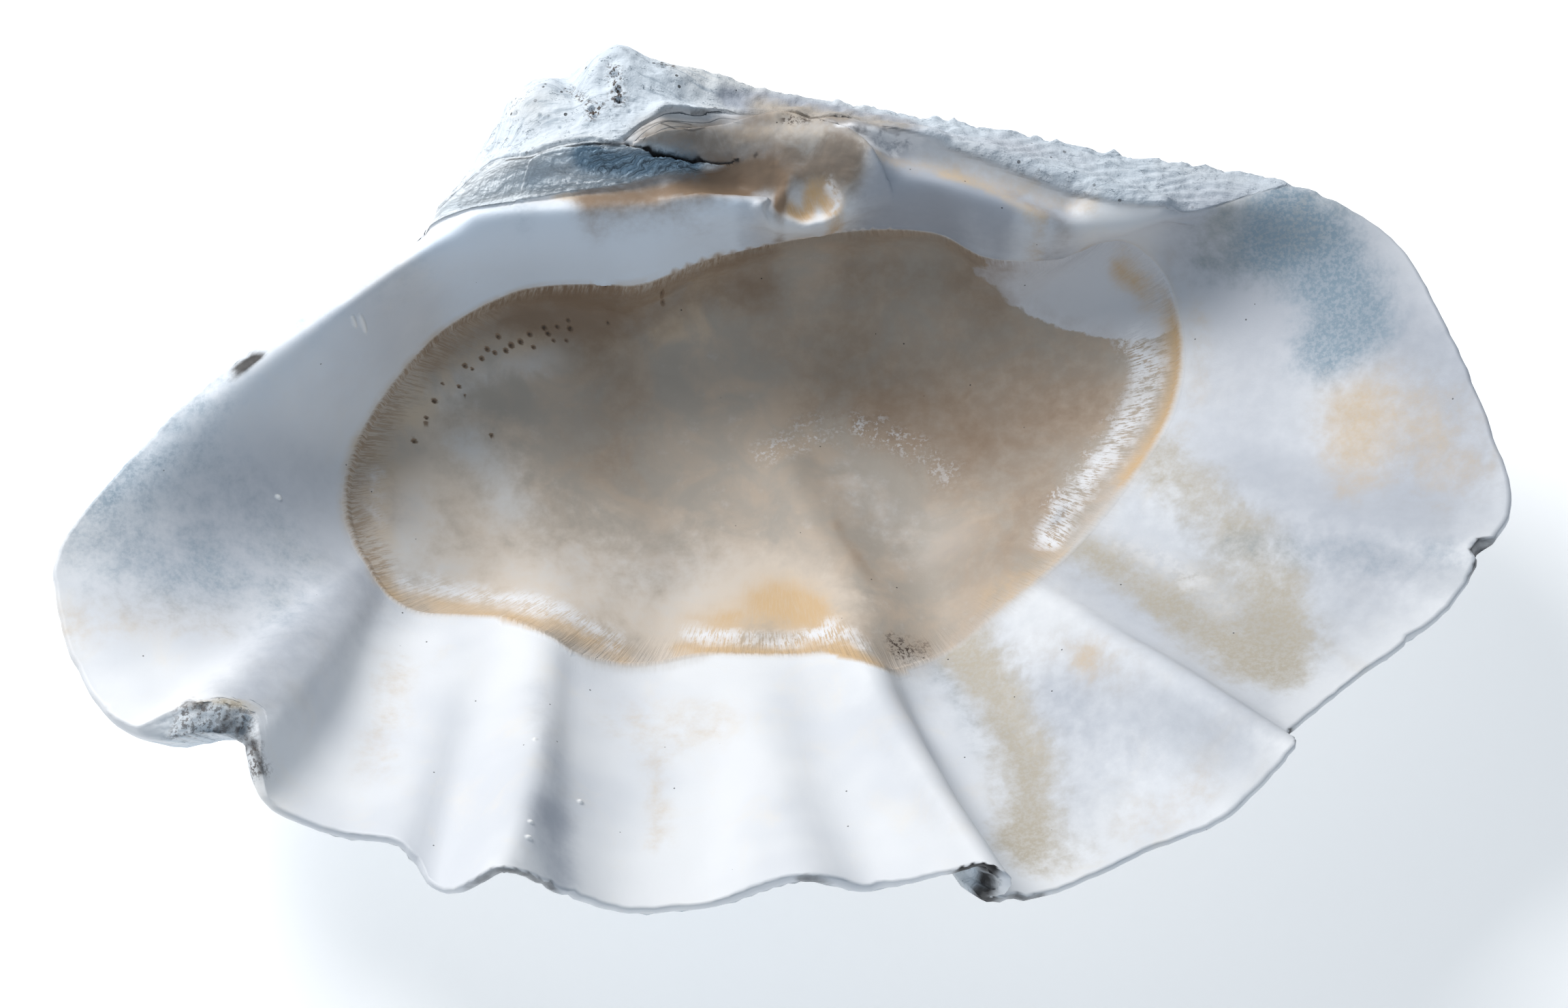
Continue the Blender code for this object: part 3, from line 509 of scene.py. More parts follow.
class Valve:
    """The valve's surface. point(where, stretch, share) gives points in millimetres, all inputs arrays."""

    def __init__(self):
        self.table = np.array([list(edge) + list(crest) + list(margin) + [drop, under, lip]
                               for name, edge, crest, margin, drop, under, lip in STATIONS], float)
        margin = self.table[:, 6:9]
        chords = np.linalg.norm(np.roll(margin, -1, axis=0) - margin, axis=1)
        self.knots = np.concatenate([[0.0], np.cumsum(np.sqrt(chords))])
        self.dense = self.even_places(SMOOTHING_POINTS)
        self.smooth_margin = smooth_outline(self.under_margin(self.dense), OUTLINE_SMOOTHING)
        self.smooth_edge = smooth_outline(self.stations(self.dense)[:, 0:3], EDGE_SMOOTHING)
        self.smooth_drop = smooth_outline(self.stations(self.dense)[:, 9:12], DROP_SMOOTHING)
        arms = self.smooth_margin[:, :2] - np.array(BASE_MIDDLE)
        angles = np.arctan2(arms[:, 1], arms[:, 0])
        order = np.argsort(angles)
        self.arm_angles = angles[order]
        self.arm_reach = np.linalg.norm(arms, axis=1)[order]
        self.arm_height = self.smooth_margin[order, 2]

    def stations(self, where):
        """The twelve numbers of a station at any place round the valve."""
        return closed_spline(self.knots, self.table, where)

    def even_places(self, count, packing=0.0, hinge=0.0):
        """Places of columns round the margin: even along it, or closer at tight folds and at the hinge."""
        dense = np.linspace(0.0, self.knots[-1], SPACING_POINTS)
        margin = self.stations(dense)[:, 6:9]
        steps = np.linalg.norm(np.diff(margin, axis=0), axis=1)
        back = smooth_step(120.0, 160.0, margin[:-1, 1]) * smooth_step(300.0, 240.0, margin[:-1, 0])
        steps = steps * (1.0 + hinge * back) + packing * np.diff(dense)
        measure = np.concatenate([[0.0], np.cumsum(steps)])
        return np.interp(np.arange(count) * measure[-1] / count, measure, dense)

    def along(self, where, line):
        """Points of a densely sampled closed line at places round the margin."""
        return np.column_stack([np.interp(where, self.dense, line[:, k], period=self.knots[-1])
                                for k in range(3)])

    def under_margin(self, where):
        """The lower edge of the margin: the margin moved by its thickness, square to the wall."""
        step = 0.02
        here = self.stations(where)
        run = self.stations(where + step)[:, 6:9] - self.stations(where - step)[:, 6:9]
        growth = unit(here[:, 6:9] - here[:, 3:6])
        return here[:, 6:9] + (unit(np.cross(run, growth)) - LIP_LEAN * growth) * here[:, 11:12]

    def floor(self, where, share):
        """From the hollow's middle to the foot of the low wall round it."""
        data = self.stations(where)
        middle = np.array(HOLLOW_MIDDLE)
        out = unit(data[:, 0:2] - middle[:2])
        foot = np.column_stack([data[:, 0:2] + out * data[:, 10:11], data[:, 2] - data[:, 9]])
        folds = data[:, 0:3] - self.along(where, self.smooth_edge)
        even = foot - folds
        power = 2.0 + self.along(where, self.smooth_drop)[:, 0] / 12.0
        plan = middle[:2] + (even[:, :2] - middle[:2]) * share[:, None]
        height = middle[2] + (even[:, 2] - middle[2]) * share**power
        points = np.column_stack([plan, height]) + folds * share[:, None] ** FLOOR_FOLD_FADE
        points[:, 2] += strokes_height(points[:, :2], FLOOR_STROKES)
        return points

    def slope(self, where, share):
        """From the hollow's edge (0) over the crest (1) to the margin (2), as one smooth curve."""
        data = self.stations(where)
        edge, crest, margin = data[:, 0:3], data[:, 3:6], data[:, 6:9]
        low = CRESTS_AT
        rise, run = (crest - edge) / low, (margin - crest) / (1.0 - low)
        turn = rise * (1.0 - low) + run * low
        upper = (share > 1.0)[:, None]
        t = np.where(upper, share[:, None] - 1.0, share[:, None])
        start = np.where(upper, crest, edge)
        end = np.where(upper, margin, crest)
        leave = np.where(upper, turn * (1.0 - low), (1.5 * rise - 0.5 * turn) * low)
        arrive = np.where(upper, (1.5 * run - 0.5 * turn) * (1.0 - low), turn * low)
        points = hermite(t, start, leave, end, arrive)
        plan = points[:, :2]
        high = strokes_height(plan, HINGE_STROKES) + bank_heights(plan, BANKS)
        points[:, 2] += smooth_step(0.0, 0.4, share) * high
        points[:, 2] += smooth_step(0.8, 0.0, share) * strokes_height(plan, FLOOR_STROKES)
        return points

    def outside(self, where, share):
        """From under the margin to the back of the umbo: a bowl with the margin's folds as ribs."""
        smooth = self.along(where, self.smooth_margin)
        folds = self.under_margin(where) - smooth
        plan = smooth[:, :2] + (np.array(UMBO_BACK) - smooth[:, :2]) * share[:, None]
        arms = plan - np.array(BASE_MIDDLE)
        angle = np.arctan2(arms[:, 1], arms[:, 0])
        reach = np.interp(angle, self.arm_angles, self.arm_reach, period=2 * math.pi)
        rim = np.interp(angle, self.arm_angles, self.arm_height, period=2 * math.pi)
        ratio = np.clip(np.linalg.norm(arms, axis=1) / reach, 0.0, 1.0)
        turns, fullness = np.array(BOWL_FULLNESS).T
        full = np.interp(np.degrees(angle), turns, fullness, period=360)
        height = (rim + BASE_FLAT_DEPTH) * (1.0 - (1.0 - ratio**BOWL_POWER) ** full) - BASE_FLAT_DEPTH
        points = np.column_stack([plan, height]) + folds * (1.0 - share[:, None]) ** RIB_FADE
        from_umbo = np.linalg.norm(plan - np.array(UMBO_BACK), axis=1) / UMBO_BULGE_REACH
        bulge = UMBO_BULGE * np.exp(-from_umbo**2) * smooth_step(0.0, 0.5, share)
        push = self.ledge(where, share) + bulge
        points += unit(points - np.array(BOWL_HEART)) * push[:, None]
        points[:, 2] = np.maximum(points[:, 2], 0.0)
        return points

    def ledge(self, where, share):
        """Growth ledges: the outside thickens towards each old margin and drops beyond it."""
        total = np.zeros(len(share))
        for ledge, end in zip(LEDGES, LEDGES[1:] + (1.0,)):
            rise = np.clip((end - share) / (end - ledge - LEDGE_WIDTH / 2), 0.0, 1.0)
            past = smooth_step(ledge - LEDGE_WIDTH / 2, ledge + LEDGE_WIDTH / 2, share)
            total += np.where(share < end, rise * past, 0.0)
        path = np.linalg.norm(self.along(where, self.smooth_margin)[:, :2] - np.array(UMBO_BACK), axis=1)
        return LEDGE_HEIGHT * total * (1.0 - share) * smooth_step(80.0, 300.0, path)

    def wall(self, where, share):
        """The low wall from the floor up to the hollow's edge."""
        none = np.zeros(len(where))
        foot = self.floor(where, none + 1.0)
        return foot + (self.slope(where, none) - foot) * share[:, None]

    def lip(self, where, share):
        """The rounded margin, from its upper edge to its lower one."""
        none = np.zeros(len(where))
        data = self.stations(where)
        top = self.slope(where, none + 2.0)
        growth = unit(data[:, 6:9] - data[:, 3:6])
        swell = growth * (data[:, 11] * LIP_ROUNDING * np.sin(math.pi * share))[:, None]
        return top + (self.outside(where, none) - top) * share[:, None] + swell

    def upper_slope(self, where, share):
        return self.slope(where, 1.0 + share)

    def point(self, where, stretch, share):
        """Points for mixed stretches, with share from 0 to 1 along each one's own stretch."""
        points = np.zeros((len(where), 3))
        makers = (self.floor, self.wall, self.slope, self.upper_slope, self.lip, self.outside)
        for kind, maker in enumerate(makers):
            chosen = stretch == kind
            if chosen.any():
                points[chosen] = maker(where[chosen], share[chosen])
        return points


def sphere_directions(mesh):
    """Turn (0 to 1 round the sphere) and depth (0 at the upper pole to 1 at the lower) of each vertex."""
    spots = unit(np.array([vertex.co[:] for vertex in mesh.verts]))
    turn = np.mod(np.arctan2(spots[:, 1], spots[:, 0]) / (2 * math.pi), 1.0)
    depth = np.arccos(np.clip(spots[:, 2], -1.0, 1.0)) / math.pi
    return turn, depth


def rows_to_stretch(depth):
    """The stretch and the share of it for each depth of the sphere."""
    counts = np.array(list(STRETCH_ROWS.values()))
    ends = np.cumsum(counts)
    row = depth * ends[-1]
    stretch = np.clip(np.searchsorted(ends, row - 1e-4, side="left"), 0, 5)
    starts = ends - counts
    return stretch, np.clip((row - starts[stretch]) / counts[stretch], 0.0, 1.0)


class Surface:
    """The valve's vertices: their sphere, their places, and the distances that relief and colour use."""

    def __init__(self):
        self.valve = Valve()
        self.mesh = bmesh.new()
        rows = sum(STRETCH_ROWS.values())
        bmesh.ops.create_uvsphere(self.mesh, u_segments=COLUMNS, v_segments=rows, radius=1.0)
        places = self.valve.even_places(COLUMNS, COLUMN_PACKING, HINGE_PACKING)
        self.places = np.append(places, self.valve.knots[-1])
        self.place_vertices()

    def place_vertices(self):
        turn, depth = sphere_directions(self.mesh)
        self.stretch, self.share = rows_to_stretch(depth)
        self.where = np.interp(turn * COLUMNS, np.arange(COLUMNS + 1), self.places)
        self.points = self.valve.point(self.where, self.stretch, self.share)
        self.on_slope = (self.stretch == LOWER_SLOPE) | (self.stretch == UPPER_SLOPE)
        self.on_hollow = (self.stretch == FLOOR) | (self.stretch == WALL)
        self.station = self.valve.stations(self.where)

    def refine(self, wanted, length, corners_in=all):
        """Cuts in four the faces that have an edge longer than length, in millimetres, and whose corners
        are wanted: all of them, or any where corners_in says so."""
        self.mesh.verts.ensure_lookup_table()
        self.mesh.verts.index_update()
        edges = set()
        for face in self.mesh.faces:
            corners = [vertex.index for vertex in face.verts]
            if not corners_in(wanted[corner] for corner in corners):
                continue
            ring = self.points[corners]
            sides = np.linalg.norm(ring - np.roll(ring, 1, axis=0), axis=1)
            if sides.max() > length:
                edges.update(edge for edge, side in zip(face.edges, np.roll(sides, -1)) if side > length / 2)
        if edges:
            bmesh.ops.subdivide_edges(self.mesh, edges=list(edges), cuts=1, use_grid_fill=True)
            self.place_vertices()

    def measure(self):
        """Distances in millimetres: to the hollow's edge, to the margin, and along both."""
        dense = self.valve.even_places(MEASURING_POINTS)
        edge = self.valve.stations(dense)[:, 0:3]
        tree = kdtree.KDTree(len(edge))
        for index, point in enumerate(edge):
            tree.insert(point, index)
        tree.balance()
        gap = np.array([tree.find(point)[2] for point in self.points.tolist()])
        self.inward = np.where(self.on_hollow, gap, -gap)
        margin = self.station[:, 6:9]
        self.growth = np.linalg.norm(self.points - margin, axis=1)
        dense = np.linspace(0.0, self.valve.knots[-1], MEASURING_POINTS)
        table = self.valve.stations(dense)
        self.edge_way = self.way_along(dense, table[:, 0:3])
        self.margin_way = self.way_along(dense, table[:, 6:9])
        plan = self.points[:, :2]
        self.above_band = signed_distance(plan, smooth_line(BAND_FOOT))
        self.above_ligament = signed_distance(plan, smooth_line(LIGAMENT_FOOT))
        upper = (self.stretch == UPPER_SLOPE) | (self.stretch == LIP)
        back = smooth_step(148.0, 156.0, plan[:, 1])
        band = upper * back * smooth_step(-0.6, 0.6, self.above_band)
        self.chalk = np.maximum(band, (self.stretch == OUTSIDE) * smooth_step(1.0, 7.0, self.growth))
        inside_ends = smooth_step(-196.0, -184.0, plan[:, 0]) * smooth_step(-24.0, -40.0, plan[:, 0])
        self.ligament = upper * inside_ends * smooth_step(-0.5, 1.0, self.above_ligament)
        above_top = signed_distance(plan, smooth_line(LIGAMENT_TOP))
        self.ligament *= smooth_step(0.8, -0.8, above_top)
        middle = smooth_step(-92.0, -80.0, plan[:, 0]) * smooth_step(-18.0, -36.0, plan[:, 0])
        under_band = smooth_step(0.6, -0.6, self.above_band)
        self.plates = upper * middle * smooth_step(0.4, 1.4, above_top) * under_band

    def way_along(self, dense, line):
        steps = np.linalg.norm(np.diff(line, axis=0), axis=1)
        return np.interp(self.where, dense, np.concatenate([[0.0], np.cumsum(steps)]))


def near(points, x, y, reach):
    return distance_to_spot(points, x, y) < reach


def refine_surface(surface):
    """Cuts the faces finer where the relief is fine."""
    for length in HINGE_FACES:
        plan = surface.points
        upper = (surface.stretch == UPPER_SLOPE) | (surface.stretch == LIP)
        slope = surface.on_slope | (surface.stretch == LIP)
        back = slope & (plan[:, 1] > 144) & (plan[:, 0] > -200)
        hinge = back & (plan[:, 0] < 62)
        band = upper & (plan[:, 1] > 150) & (plan[:, 0] > 20) & (surface.share > 0.3)
        notch = upper & near(plan, -288, -152, 52) & ((surface.share > 0.6) | (surface.stretch == LIP))
        surface.refine(hinge | band | notch, length)
    plan = surface.points
    slope = surface.on_slope | (surface.stretch == LIP)
    core = slope & (plan[:, 1] > 150) & (plan[:, 1] < 216) & (plan[:, 0] > -170) & (plan[:, 0] < 40)
    surface.refine(core, CORE_FACES)
    edge = surface.valve.stations(surface.where)[:, 0:3]
    close = np.linalg.norm(surface.points - edge, axis=1) < FINE_EDGE
    inner = surface.on_hollow | (surface.stretch == LOWER_SLOPE)
    surface.refine(close & inner, HOLLOW_EDGE_FACES)
    margin = (surface.stretch == LIP) | ((surface.stretch == UPPER_SLOPE) & (surface.share > 0.93))
    surface.refine(margin, MARGIN_FACES)
    for length in SPOT_FACES:
        spots = np.zeros(len(surface.points), bool)
        for part, table in ((surface.on_hollow, BORES), (surface.on_slope, BEADS)):
            for x, y, radius in table:
                spots |= part & near(surface.points, x, y, 1.2 * radius + 0.9 * length)
        surface.refine(spots, length, any)


def raise_relief(surface):
    """Moves the vertices along their normals by the fine relief, millimetres."""
    points, where = surface.points, surface.where
    mesh = surface.mesh
    for vertex, point in zip(mesh.verts, points):
        vertex.co = point
    mesh.normal_update()
    normals = np.array([vertex.normal[:] for vertex in mesh.verts])
    plan = points[:, :2]
    slope = smooth_step(-10.0, -40.0, surface.inward) * surface.on_slope
    coarse = noise_at(points, COARSE_LUMP, 2)
    medium = noise_at(points, MEDIUM_LUMP, 3)
    fine = noise_at(points, FINE_LUMP, 3)
    hinge = surface.on_slope * smooth_step(146.0, 156.0, plan[:, 1]) * smooth_step(70.0, 40.0, plan[:, 0])
    smooth = (1.0 - surface.chalk) * (1.0 - surface.ligament)
    height = smooth * slope * 0.9 * coarse
    height += smooth * (0.35 * medium * surface.on_hollow * smooth_step(0.0, 15.0, surface.inward))
    height += smooth * hinge * (0.35 * medium + 0.12 * fine)
    # Chalk: lumps, grains and growth lines that follow the margin
    lines = np.sin(2 * math.pi * (surface.growth / GROWTH_LINE_GAP + 0.35 * medium + 0.2 * coarse))
    band = surface.chalk * smooth_step(-60.0, 0.0, plan[:, 0]) * surface.on_slope
    lumps = surface.chalk * (1.0 * medium + 0.45 * fine)
    height += lumps * np.where(surface.stretch == OUTSIDE, 0.7, 1.0)
    height += 0.35 * surface.chalk * lines * (surface.stretch == OUTSIDE)
    crest_way = wound(surface.margin_way, np.zeros(len(points)))
    surface.crest_layer = surface.margin_way / CREST_LAYER + 1.1 * noise_at(crest_way, 40.0, 2)
    slanted = surface.crest_layer - CREST_SLANT * surface.growth / CREST_LAYER + 0.12 * medium
    surface.slanted = slanted
    band *= smooth_step(0.0, 9.0, surface.above_band)
    height += band * (1.1 * scallop_wave(slanted) - 0.5)
    height += band * 0.22 * np.sin(2 * math.pi * 5.0 * slanted)
    # Ligament: wavy layers, each a small terrace
    bend = 1.5 * noise_at(points * np.array((0.45, 1.0, 1.0)), 14.0, 2) + 0.35 * fine
    layer = surface.above_ligament / LIGAMENT_LAYER + bend
    saw = layer - np.floor(layer)
    bold = 0.25 + 0.75 * smooth_step(-140.0, -105.0, plan[:, 0])
    height += surface.ligament * bold * (1.4 * saw**0.7 - 0.9 + 0.3 * fine)
    surface.layer = layer
    # Pallial line: the slope ends in a low ragged rim
    ragged = 1.0 + 0.8 * noise_at(wound(surface.edge_way, 0.0 * where), 7.0, 3)
    rim = np.exp(-((surface.inward + 1.6) / 1.8) ** 2) * (surface.inward <= 0.0)
    height += 0.7 * rim * ragged * (surface.stretch != OUTSIDE)
    # Bores, beads and pits
    for x, y, radius in BORES:
        gap = distance_to_spot(plan, x, y)
        height -= surface.on_hollow * 1.2 * radius * smooth_step(1.15 * radius, 0.4 * radius, gap)
    for x, y, radius in BEADS:
        gap = distance_to_spot(plan, x, y)
        height += surface.on_slope * 0.9 * radius * np.sqrt(np.clip(1.0 - (gap / radius) ** 2, 0.0, 1.0))
    for x, y, radius, deep in PITS:
        gap = distance_to_spot(plan, x, y) + 0.5 * fine
        height -= (surface.chalk > 0.5) * surface.on_slope * deep * smooth_step(radius, 0.3 * radius, gap)
    moved = points + normals * height[:, None]
    surface.moved = roughen_margin(surface, moved)


def scallop_wave(layer):
    """Rises slowly through each layer and falls quickly at its end, from 0 to 1."""
    share = layer - np.floor(layer)
    return smooth_step(0.0, 0.65, share) * smooth_step(1.0, 0.65, share)


def notch_share(where_points):
    """How far into the broken stretch of the margin each column lies, from 0 at its ends to 1."""
    x = where_points[:, 0]
    front = where_points[:, 1] < -100.0
    return front * smooth_step(-318.0, -303.0, x) * smooth_step(-253.0, -268.0, x)


def roughen_margin(surface, moved):
    """The margin's chips, its scalloped back crest and the broken notch at the left front."""
    way = wound(surface.margin_way, np.zeros(len(moved)))
    data = surface.station
    outward = unit(data[:, 6:9] - data[:, 3:6])
    thin = smooth_step(16.0, 2.0, surface.growth) * (surface.stretch != FLOOR)
    wear = 1.3 * noise_at(way, 26.0, 3) + 0.7 * noise_at(way + 50.0, 6.0, 2)
    chips = -3.2 * smooth_step(0.42, 0.75, noise_at(way + 9.0, 17.0, 2))
    crest = smooth_step(150.0, 170.0, data[:, 7]) * smooth_step(-20.0, 20.0, data[:, 6])
    scallop = crest * (2.2 + 1.8 * noise_at(way, 55.0, 2)) * (scallop_wave(surface.crest_layer) - 0.5)
    scallop += crest * 0.6 * noise_at(way, 5.0, 2)
    broken = notch_share(data[:, 6:9])
    push = thin * ((wear + chips * (1.0 - broken)) * (1.0 - crest) + scallop - 0.6)
    for x, y, radius, deep in CHIPS:
        gap = distance_to_spot(data[:, 6:9], x, y) + 1.5 * noise_at(way, 4.0, 2)
        push -= thin * deep * smooth_step(radius, 0.4 * radius, gap)
    moved = moved + outward * push[:, None]
    # The notch: the upper edge is broken back, so a rough slanting face shows under it
    on_top = (surface.stretch == UPPER_SLOPE) * smooth_step(30.0, 0.0, surface.growth)
    on_lip = (surface.stretch == LIP) * np.clip(1.0 - 1.15 * surface.share, 0.0, 1.0)
    rough = noise_at(surface.points, 9.0, 3)
    back = broken * (on_top + on_lip) * (NOTCH_DEPTH + 5.0 * rough)
    moved -= outward * back[:, None]
    face = broken * (surface.stretch == LIP) * smooth_step(0.02, 0.12, surface.share)
    ledges = np.floor(surface.share * 4.0 + 0.8 * rough) - surface.share * 4.0
    moved[:, 2] += face * (1.6 * rough + 1.2 * ledges)
    surface.fracture = face
    return moved


def refined_valve():
    surface = Surface()
    refine_surface(surface)
    surface.measure()
    raise_relief(surface)
    return surface


def stain_and_shading_strengths(surface):
    """How strong each stain, painted shade and painted light is at each vertex, from 0 to a little over 1.
    """
    plan = surface.points[:, :2]
    off_hollow = surface.on_slope | (surface.stretch == LIP)
    strengths = {}
    lip = (surface.stretch == LIP) | (surface.stretch == OUTSIDE) & (surface.share < 0.2)
    inside = surface.on_hollow | surface.on_slope
    for table, part in ((EDGE_STAINS, inside), (HOLLOW_STAINS_AND_SHADE, surface.on_hollow),
                        (SLOPE_STAINS_AND_SHADING, off_hollow), (OUTSIDE_STAINS_AND_SHADOWS, lip)):
        for name, strokes in table.items():
            total = strengths.setdefault(name, np.zeros(len(plan)))
            for half_width, strength, *line in strokes:
                line = np.array(line, float).reshape(-1, 2)
                line = smooth_line(line) if len(line) > 2 else line
                total += part * strength * stroke_share(plan, line, half_width)
    # Each bore is browned round and darkened in its middle; the dark middle is partly painted shade in the
    # hole
    for x, y, radius in BORES:
        gap = distance_to_spot(plan, x, y)
        strengths["brown"] += surface.on_hollow * 1.2 * smooth_step(1.5 * radius, 0.9 * radius, gap)
        strengths["dark"] += surface.on_hollow * 0.6 * smooth_step(1.0 * radius, 0.3 * radius, gap)
    strengths["bead"] = np.zeros(len(plan))
    for x, y, radius in BEADS:
        gap = distance_to_spot(plan, x, y)
        strengths["bead"] += surface.on_slope * smooth_step(1.3 * radius, 0.8 * radius, gap)
    return {name: np.clip(total, 0.0, 1.2) for name, total in strengths.items()}


def wound(way, across):
    """Distances along a closed line, wound on a circle of its length so that they meet, and across it."""
    radius = way.max() / (2 * math.pi)
    return np.column_stack([radius * np.cos(way / radius), radius * np.sin(way / radius), across])


def fit_in_box(points, low, high):
    """Draws the points in, by a fraction of a per cent, where they would reach past the box."""
    for axis in range(3):
        least, most = points[:, axis].min(), points[:, axis].max()
        room = (high[axis] - low[axis]) / (most - least)
        if room < 1.0 or least < low[axis] or most > high[axis]:
            points[:, axis] = low[axis] + (points[:, axis] - least) * min(room, 1.0)
    return points


def build_valve_mesh(low, high):
    surface = refined_valve()
    points = fit_in_box((surface.moved - np.array(FRAME_MIDDLE)) * MM, low, high)
    for vertex, point in zip(surface.mesh.verts, points):
        vertex.co = point
    names = ("chalk", "ligament", "layer", "inward", "plates", "above_band", "fracture", "slanted")
    numbers = {name: getattr(surface, name) for name in names}
    numbers["fringe"] = smooth_step(150.0, 128.0, surface.points[:, 1])
    numbers["crest"] = smooth_step(-60.0, 0.0, surface.points[:, 0]) * surface.on_slope
    numbers["hollow"] = surface.on_hollow * 1.0
    numbers.update(("stain_" + name, values) for name, values in stain_and_shading_strengths(surface).items())
    flows = {
        "edge_flow": wound(surface.edge_way, surface.inward),
        "margin_flow": wound(surface.margin_way, surface.growth),
    }
    bmesh.ops.triangulate(surface.mesh, faces=surface.mesh.faces)
    data = bpy.data.meshes.new("valve_surface")
    surface.mesh.to_mesh(data)
    surface.mesh.free()
    data.shade_smooth()
    for name, values in numbers.items():
        data.attributes.new(name, "FLOAT", "POINT").data.foreach_set("value", values.astype(np.float32))
    for name, values in flows.items():
        layer = data.attributes.new(name, "FLOAT_VECTOR", "POINT")
        layer.data.foreach_set("vector", values.astype(np.float32).ravel())
    return data


class Nodes:
    """Short calls for a material's nodes. Each call gives the output socket of what it adds."""

    def __init__(self, material):
        self.tree = material.node_tree

    def add(self, kind, values=(), output=0, **settings):
        """A node with its settings, and with its sockets fed by place, or by name or number in a dict."""
        node = self.tree.nodes.new(kind)
        for name, value in settings.items():
            setattr(node, name, value)
        for key in values if isinstance(values, dict) else range(len(values)):
            self.feed(node.inputs[key], values[key])
        return node.outputs[output]

    def feed(self, socket, value):
        if isinstance(value, bpy.types.NodeSocket):
            self.tree.links.new(value, socket)
        elif isinstance(value, tuple) and len(value) == 3 and socket.type == "RGBA":
            socket.default_value = value + (1.0,)
        else:
            socket.default_value = value

    def attribute(self, name, output="Fac"):
        settings = {"attribute_name": name, "attribute_type": "GEOMETRY"}
        return self.add("ShaderNodeAttribute", output=output, **settings)

    def math(self, operation, *values):
        return self.add("ShaderNodeMath", values, operation=operation)

    def times(self, first, *others):
        for other in others:
            first = self.math("MULTIPLY", first, other)
        return first

    def step(self, value, low, high, to_low=0.0, to_high=1.0):
        values = (value, low, high, to_low, to_high)
        return self.add("ShaderNodeMapRange", values, interpolation_type="SMOOTHSTEP")

    def stretched(self, vector, scale):
        return self.add("ShaderNodeVectorMath", (vector, scale), operation="MULTIPLY")

    def noise(self, vector, scale, detail=4.0, roughness=0.55, distortion=0.0):
        values = {"Vector": vector, "Scale": scale, "Detail": detail, "Roughness": roughness,
                  "Distortion": distortion}
        return self.add("ShaderNodeTexNoise", values, "Fac")

    def cells(self, vector, scale):
        return self.add("ShaderNodeTexVoronoi", {"Vector": vector, "Scale": scale}, "Distance", feature="F1")

    def mix(self, share, a, b):
        return self.add("ShaderNodeMix", {0: share, 6: a, 7: b}, 2, data_type="RGBA", blend_type="MIX")

    def between(self, share, a, b):
        return self.add("ShaderNodeMix", {0: share, 2: a, 3: b}, data_type="FLOAT")

    def bump(self, height, distance):
        return self.add("ShaderNodeBump", {"Height": height, "Distance": distance, "Strength": 1.0})

    def over(self, base, *coats):
        """Colours laid over a base one after the other, each a pair of its share and its colour."""
        for share, colour in coats:
            base = self.mix(share, base, colour)
        return base


# Depth of the grain of the finish in metres, and the gap between thin plates in millimetres
BUMP_DEPTH = 0.0009
PLATE_GAP = 4.2

# Colours, linear light
PORCELAIN = (0.80, 0.81, 0.83)
PORCELAIN_DIM = (0.70, 0.72, 0.76)
# Lilac tint, partly painted shade
LILAC_AND_SHADE = (0.54, 0.56, 0.61)
CREAM = (0.82, 0.77, 0.70)
HOLLOW_GREY = (0.42, 0.37, 0.315)
HOLLOW_WARM = (0.52, 0.42, 0.33)
HOLLOW_CREAM = (0.66, 0.57, 0.48)
BROWN = (0.27, 0.19, 0.13)
OLIVE = (0.48, 0.43, 0.35)
DUN = (0.245, 0.205, 0.17)
DUN_PALE = (0.36, 0.34, 0.32)
# Painted shade
SHADE = (0.40, 0.43, 0.49)
TAN = (0.62, 0.50, 0.37)
ORANGE = (0.63, 0.44, 0.25)
BRISTLE = (0.42, 0.32, 0.235)
SCAR = (0.72, 0.73, 0.77)
# Painted light, bluish
PAINTED_SKYLIGHT = (0.80, 0.88, 0.98)
BRISTLE_PALE = (0.62, 0.55, 0.48)
BEAD = (0.90, 0.90, 0.90)
# Blue, partly painted shade
BLUE_AND_SHADE = (0.25, 0.335, 0.41)
PALE = (0.62, 0.60, 0.58)
WHITE = (0.80, 0.80, 0.82)
# Near black for dark marks and specks, and for painted shade in crevices and hollows
DARK = (0.012, 0.011, 0.012)
SOOT = (0.06, 0.04, 0.03)
CHALK = (0.64, 0.70, 0.76)
CHALK_WARM = (0.70, 0.71, 0.71)
CHALK_GREY = (0.34, 0.40, 0.46)
INK = (0.10, 0.14, 0.18)
LIGAMENT_PALE = (0.76, 0.81, 0.85)
LIGAMENT_BLUE = (0.26, 0.38, 0.49)
LIGAMENT_DARK = (0.03, 0.05, 0.07)
FRACTURE = (0.62, 0.66, 0.70)


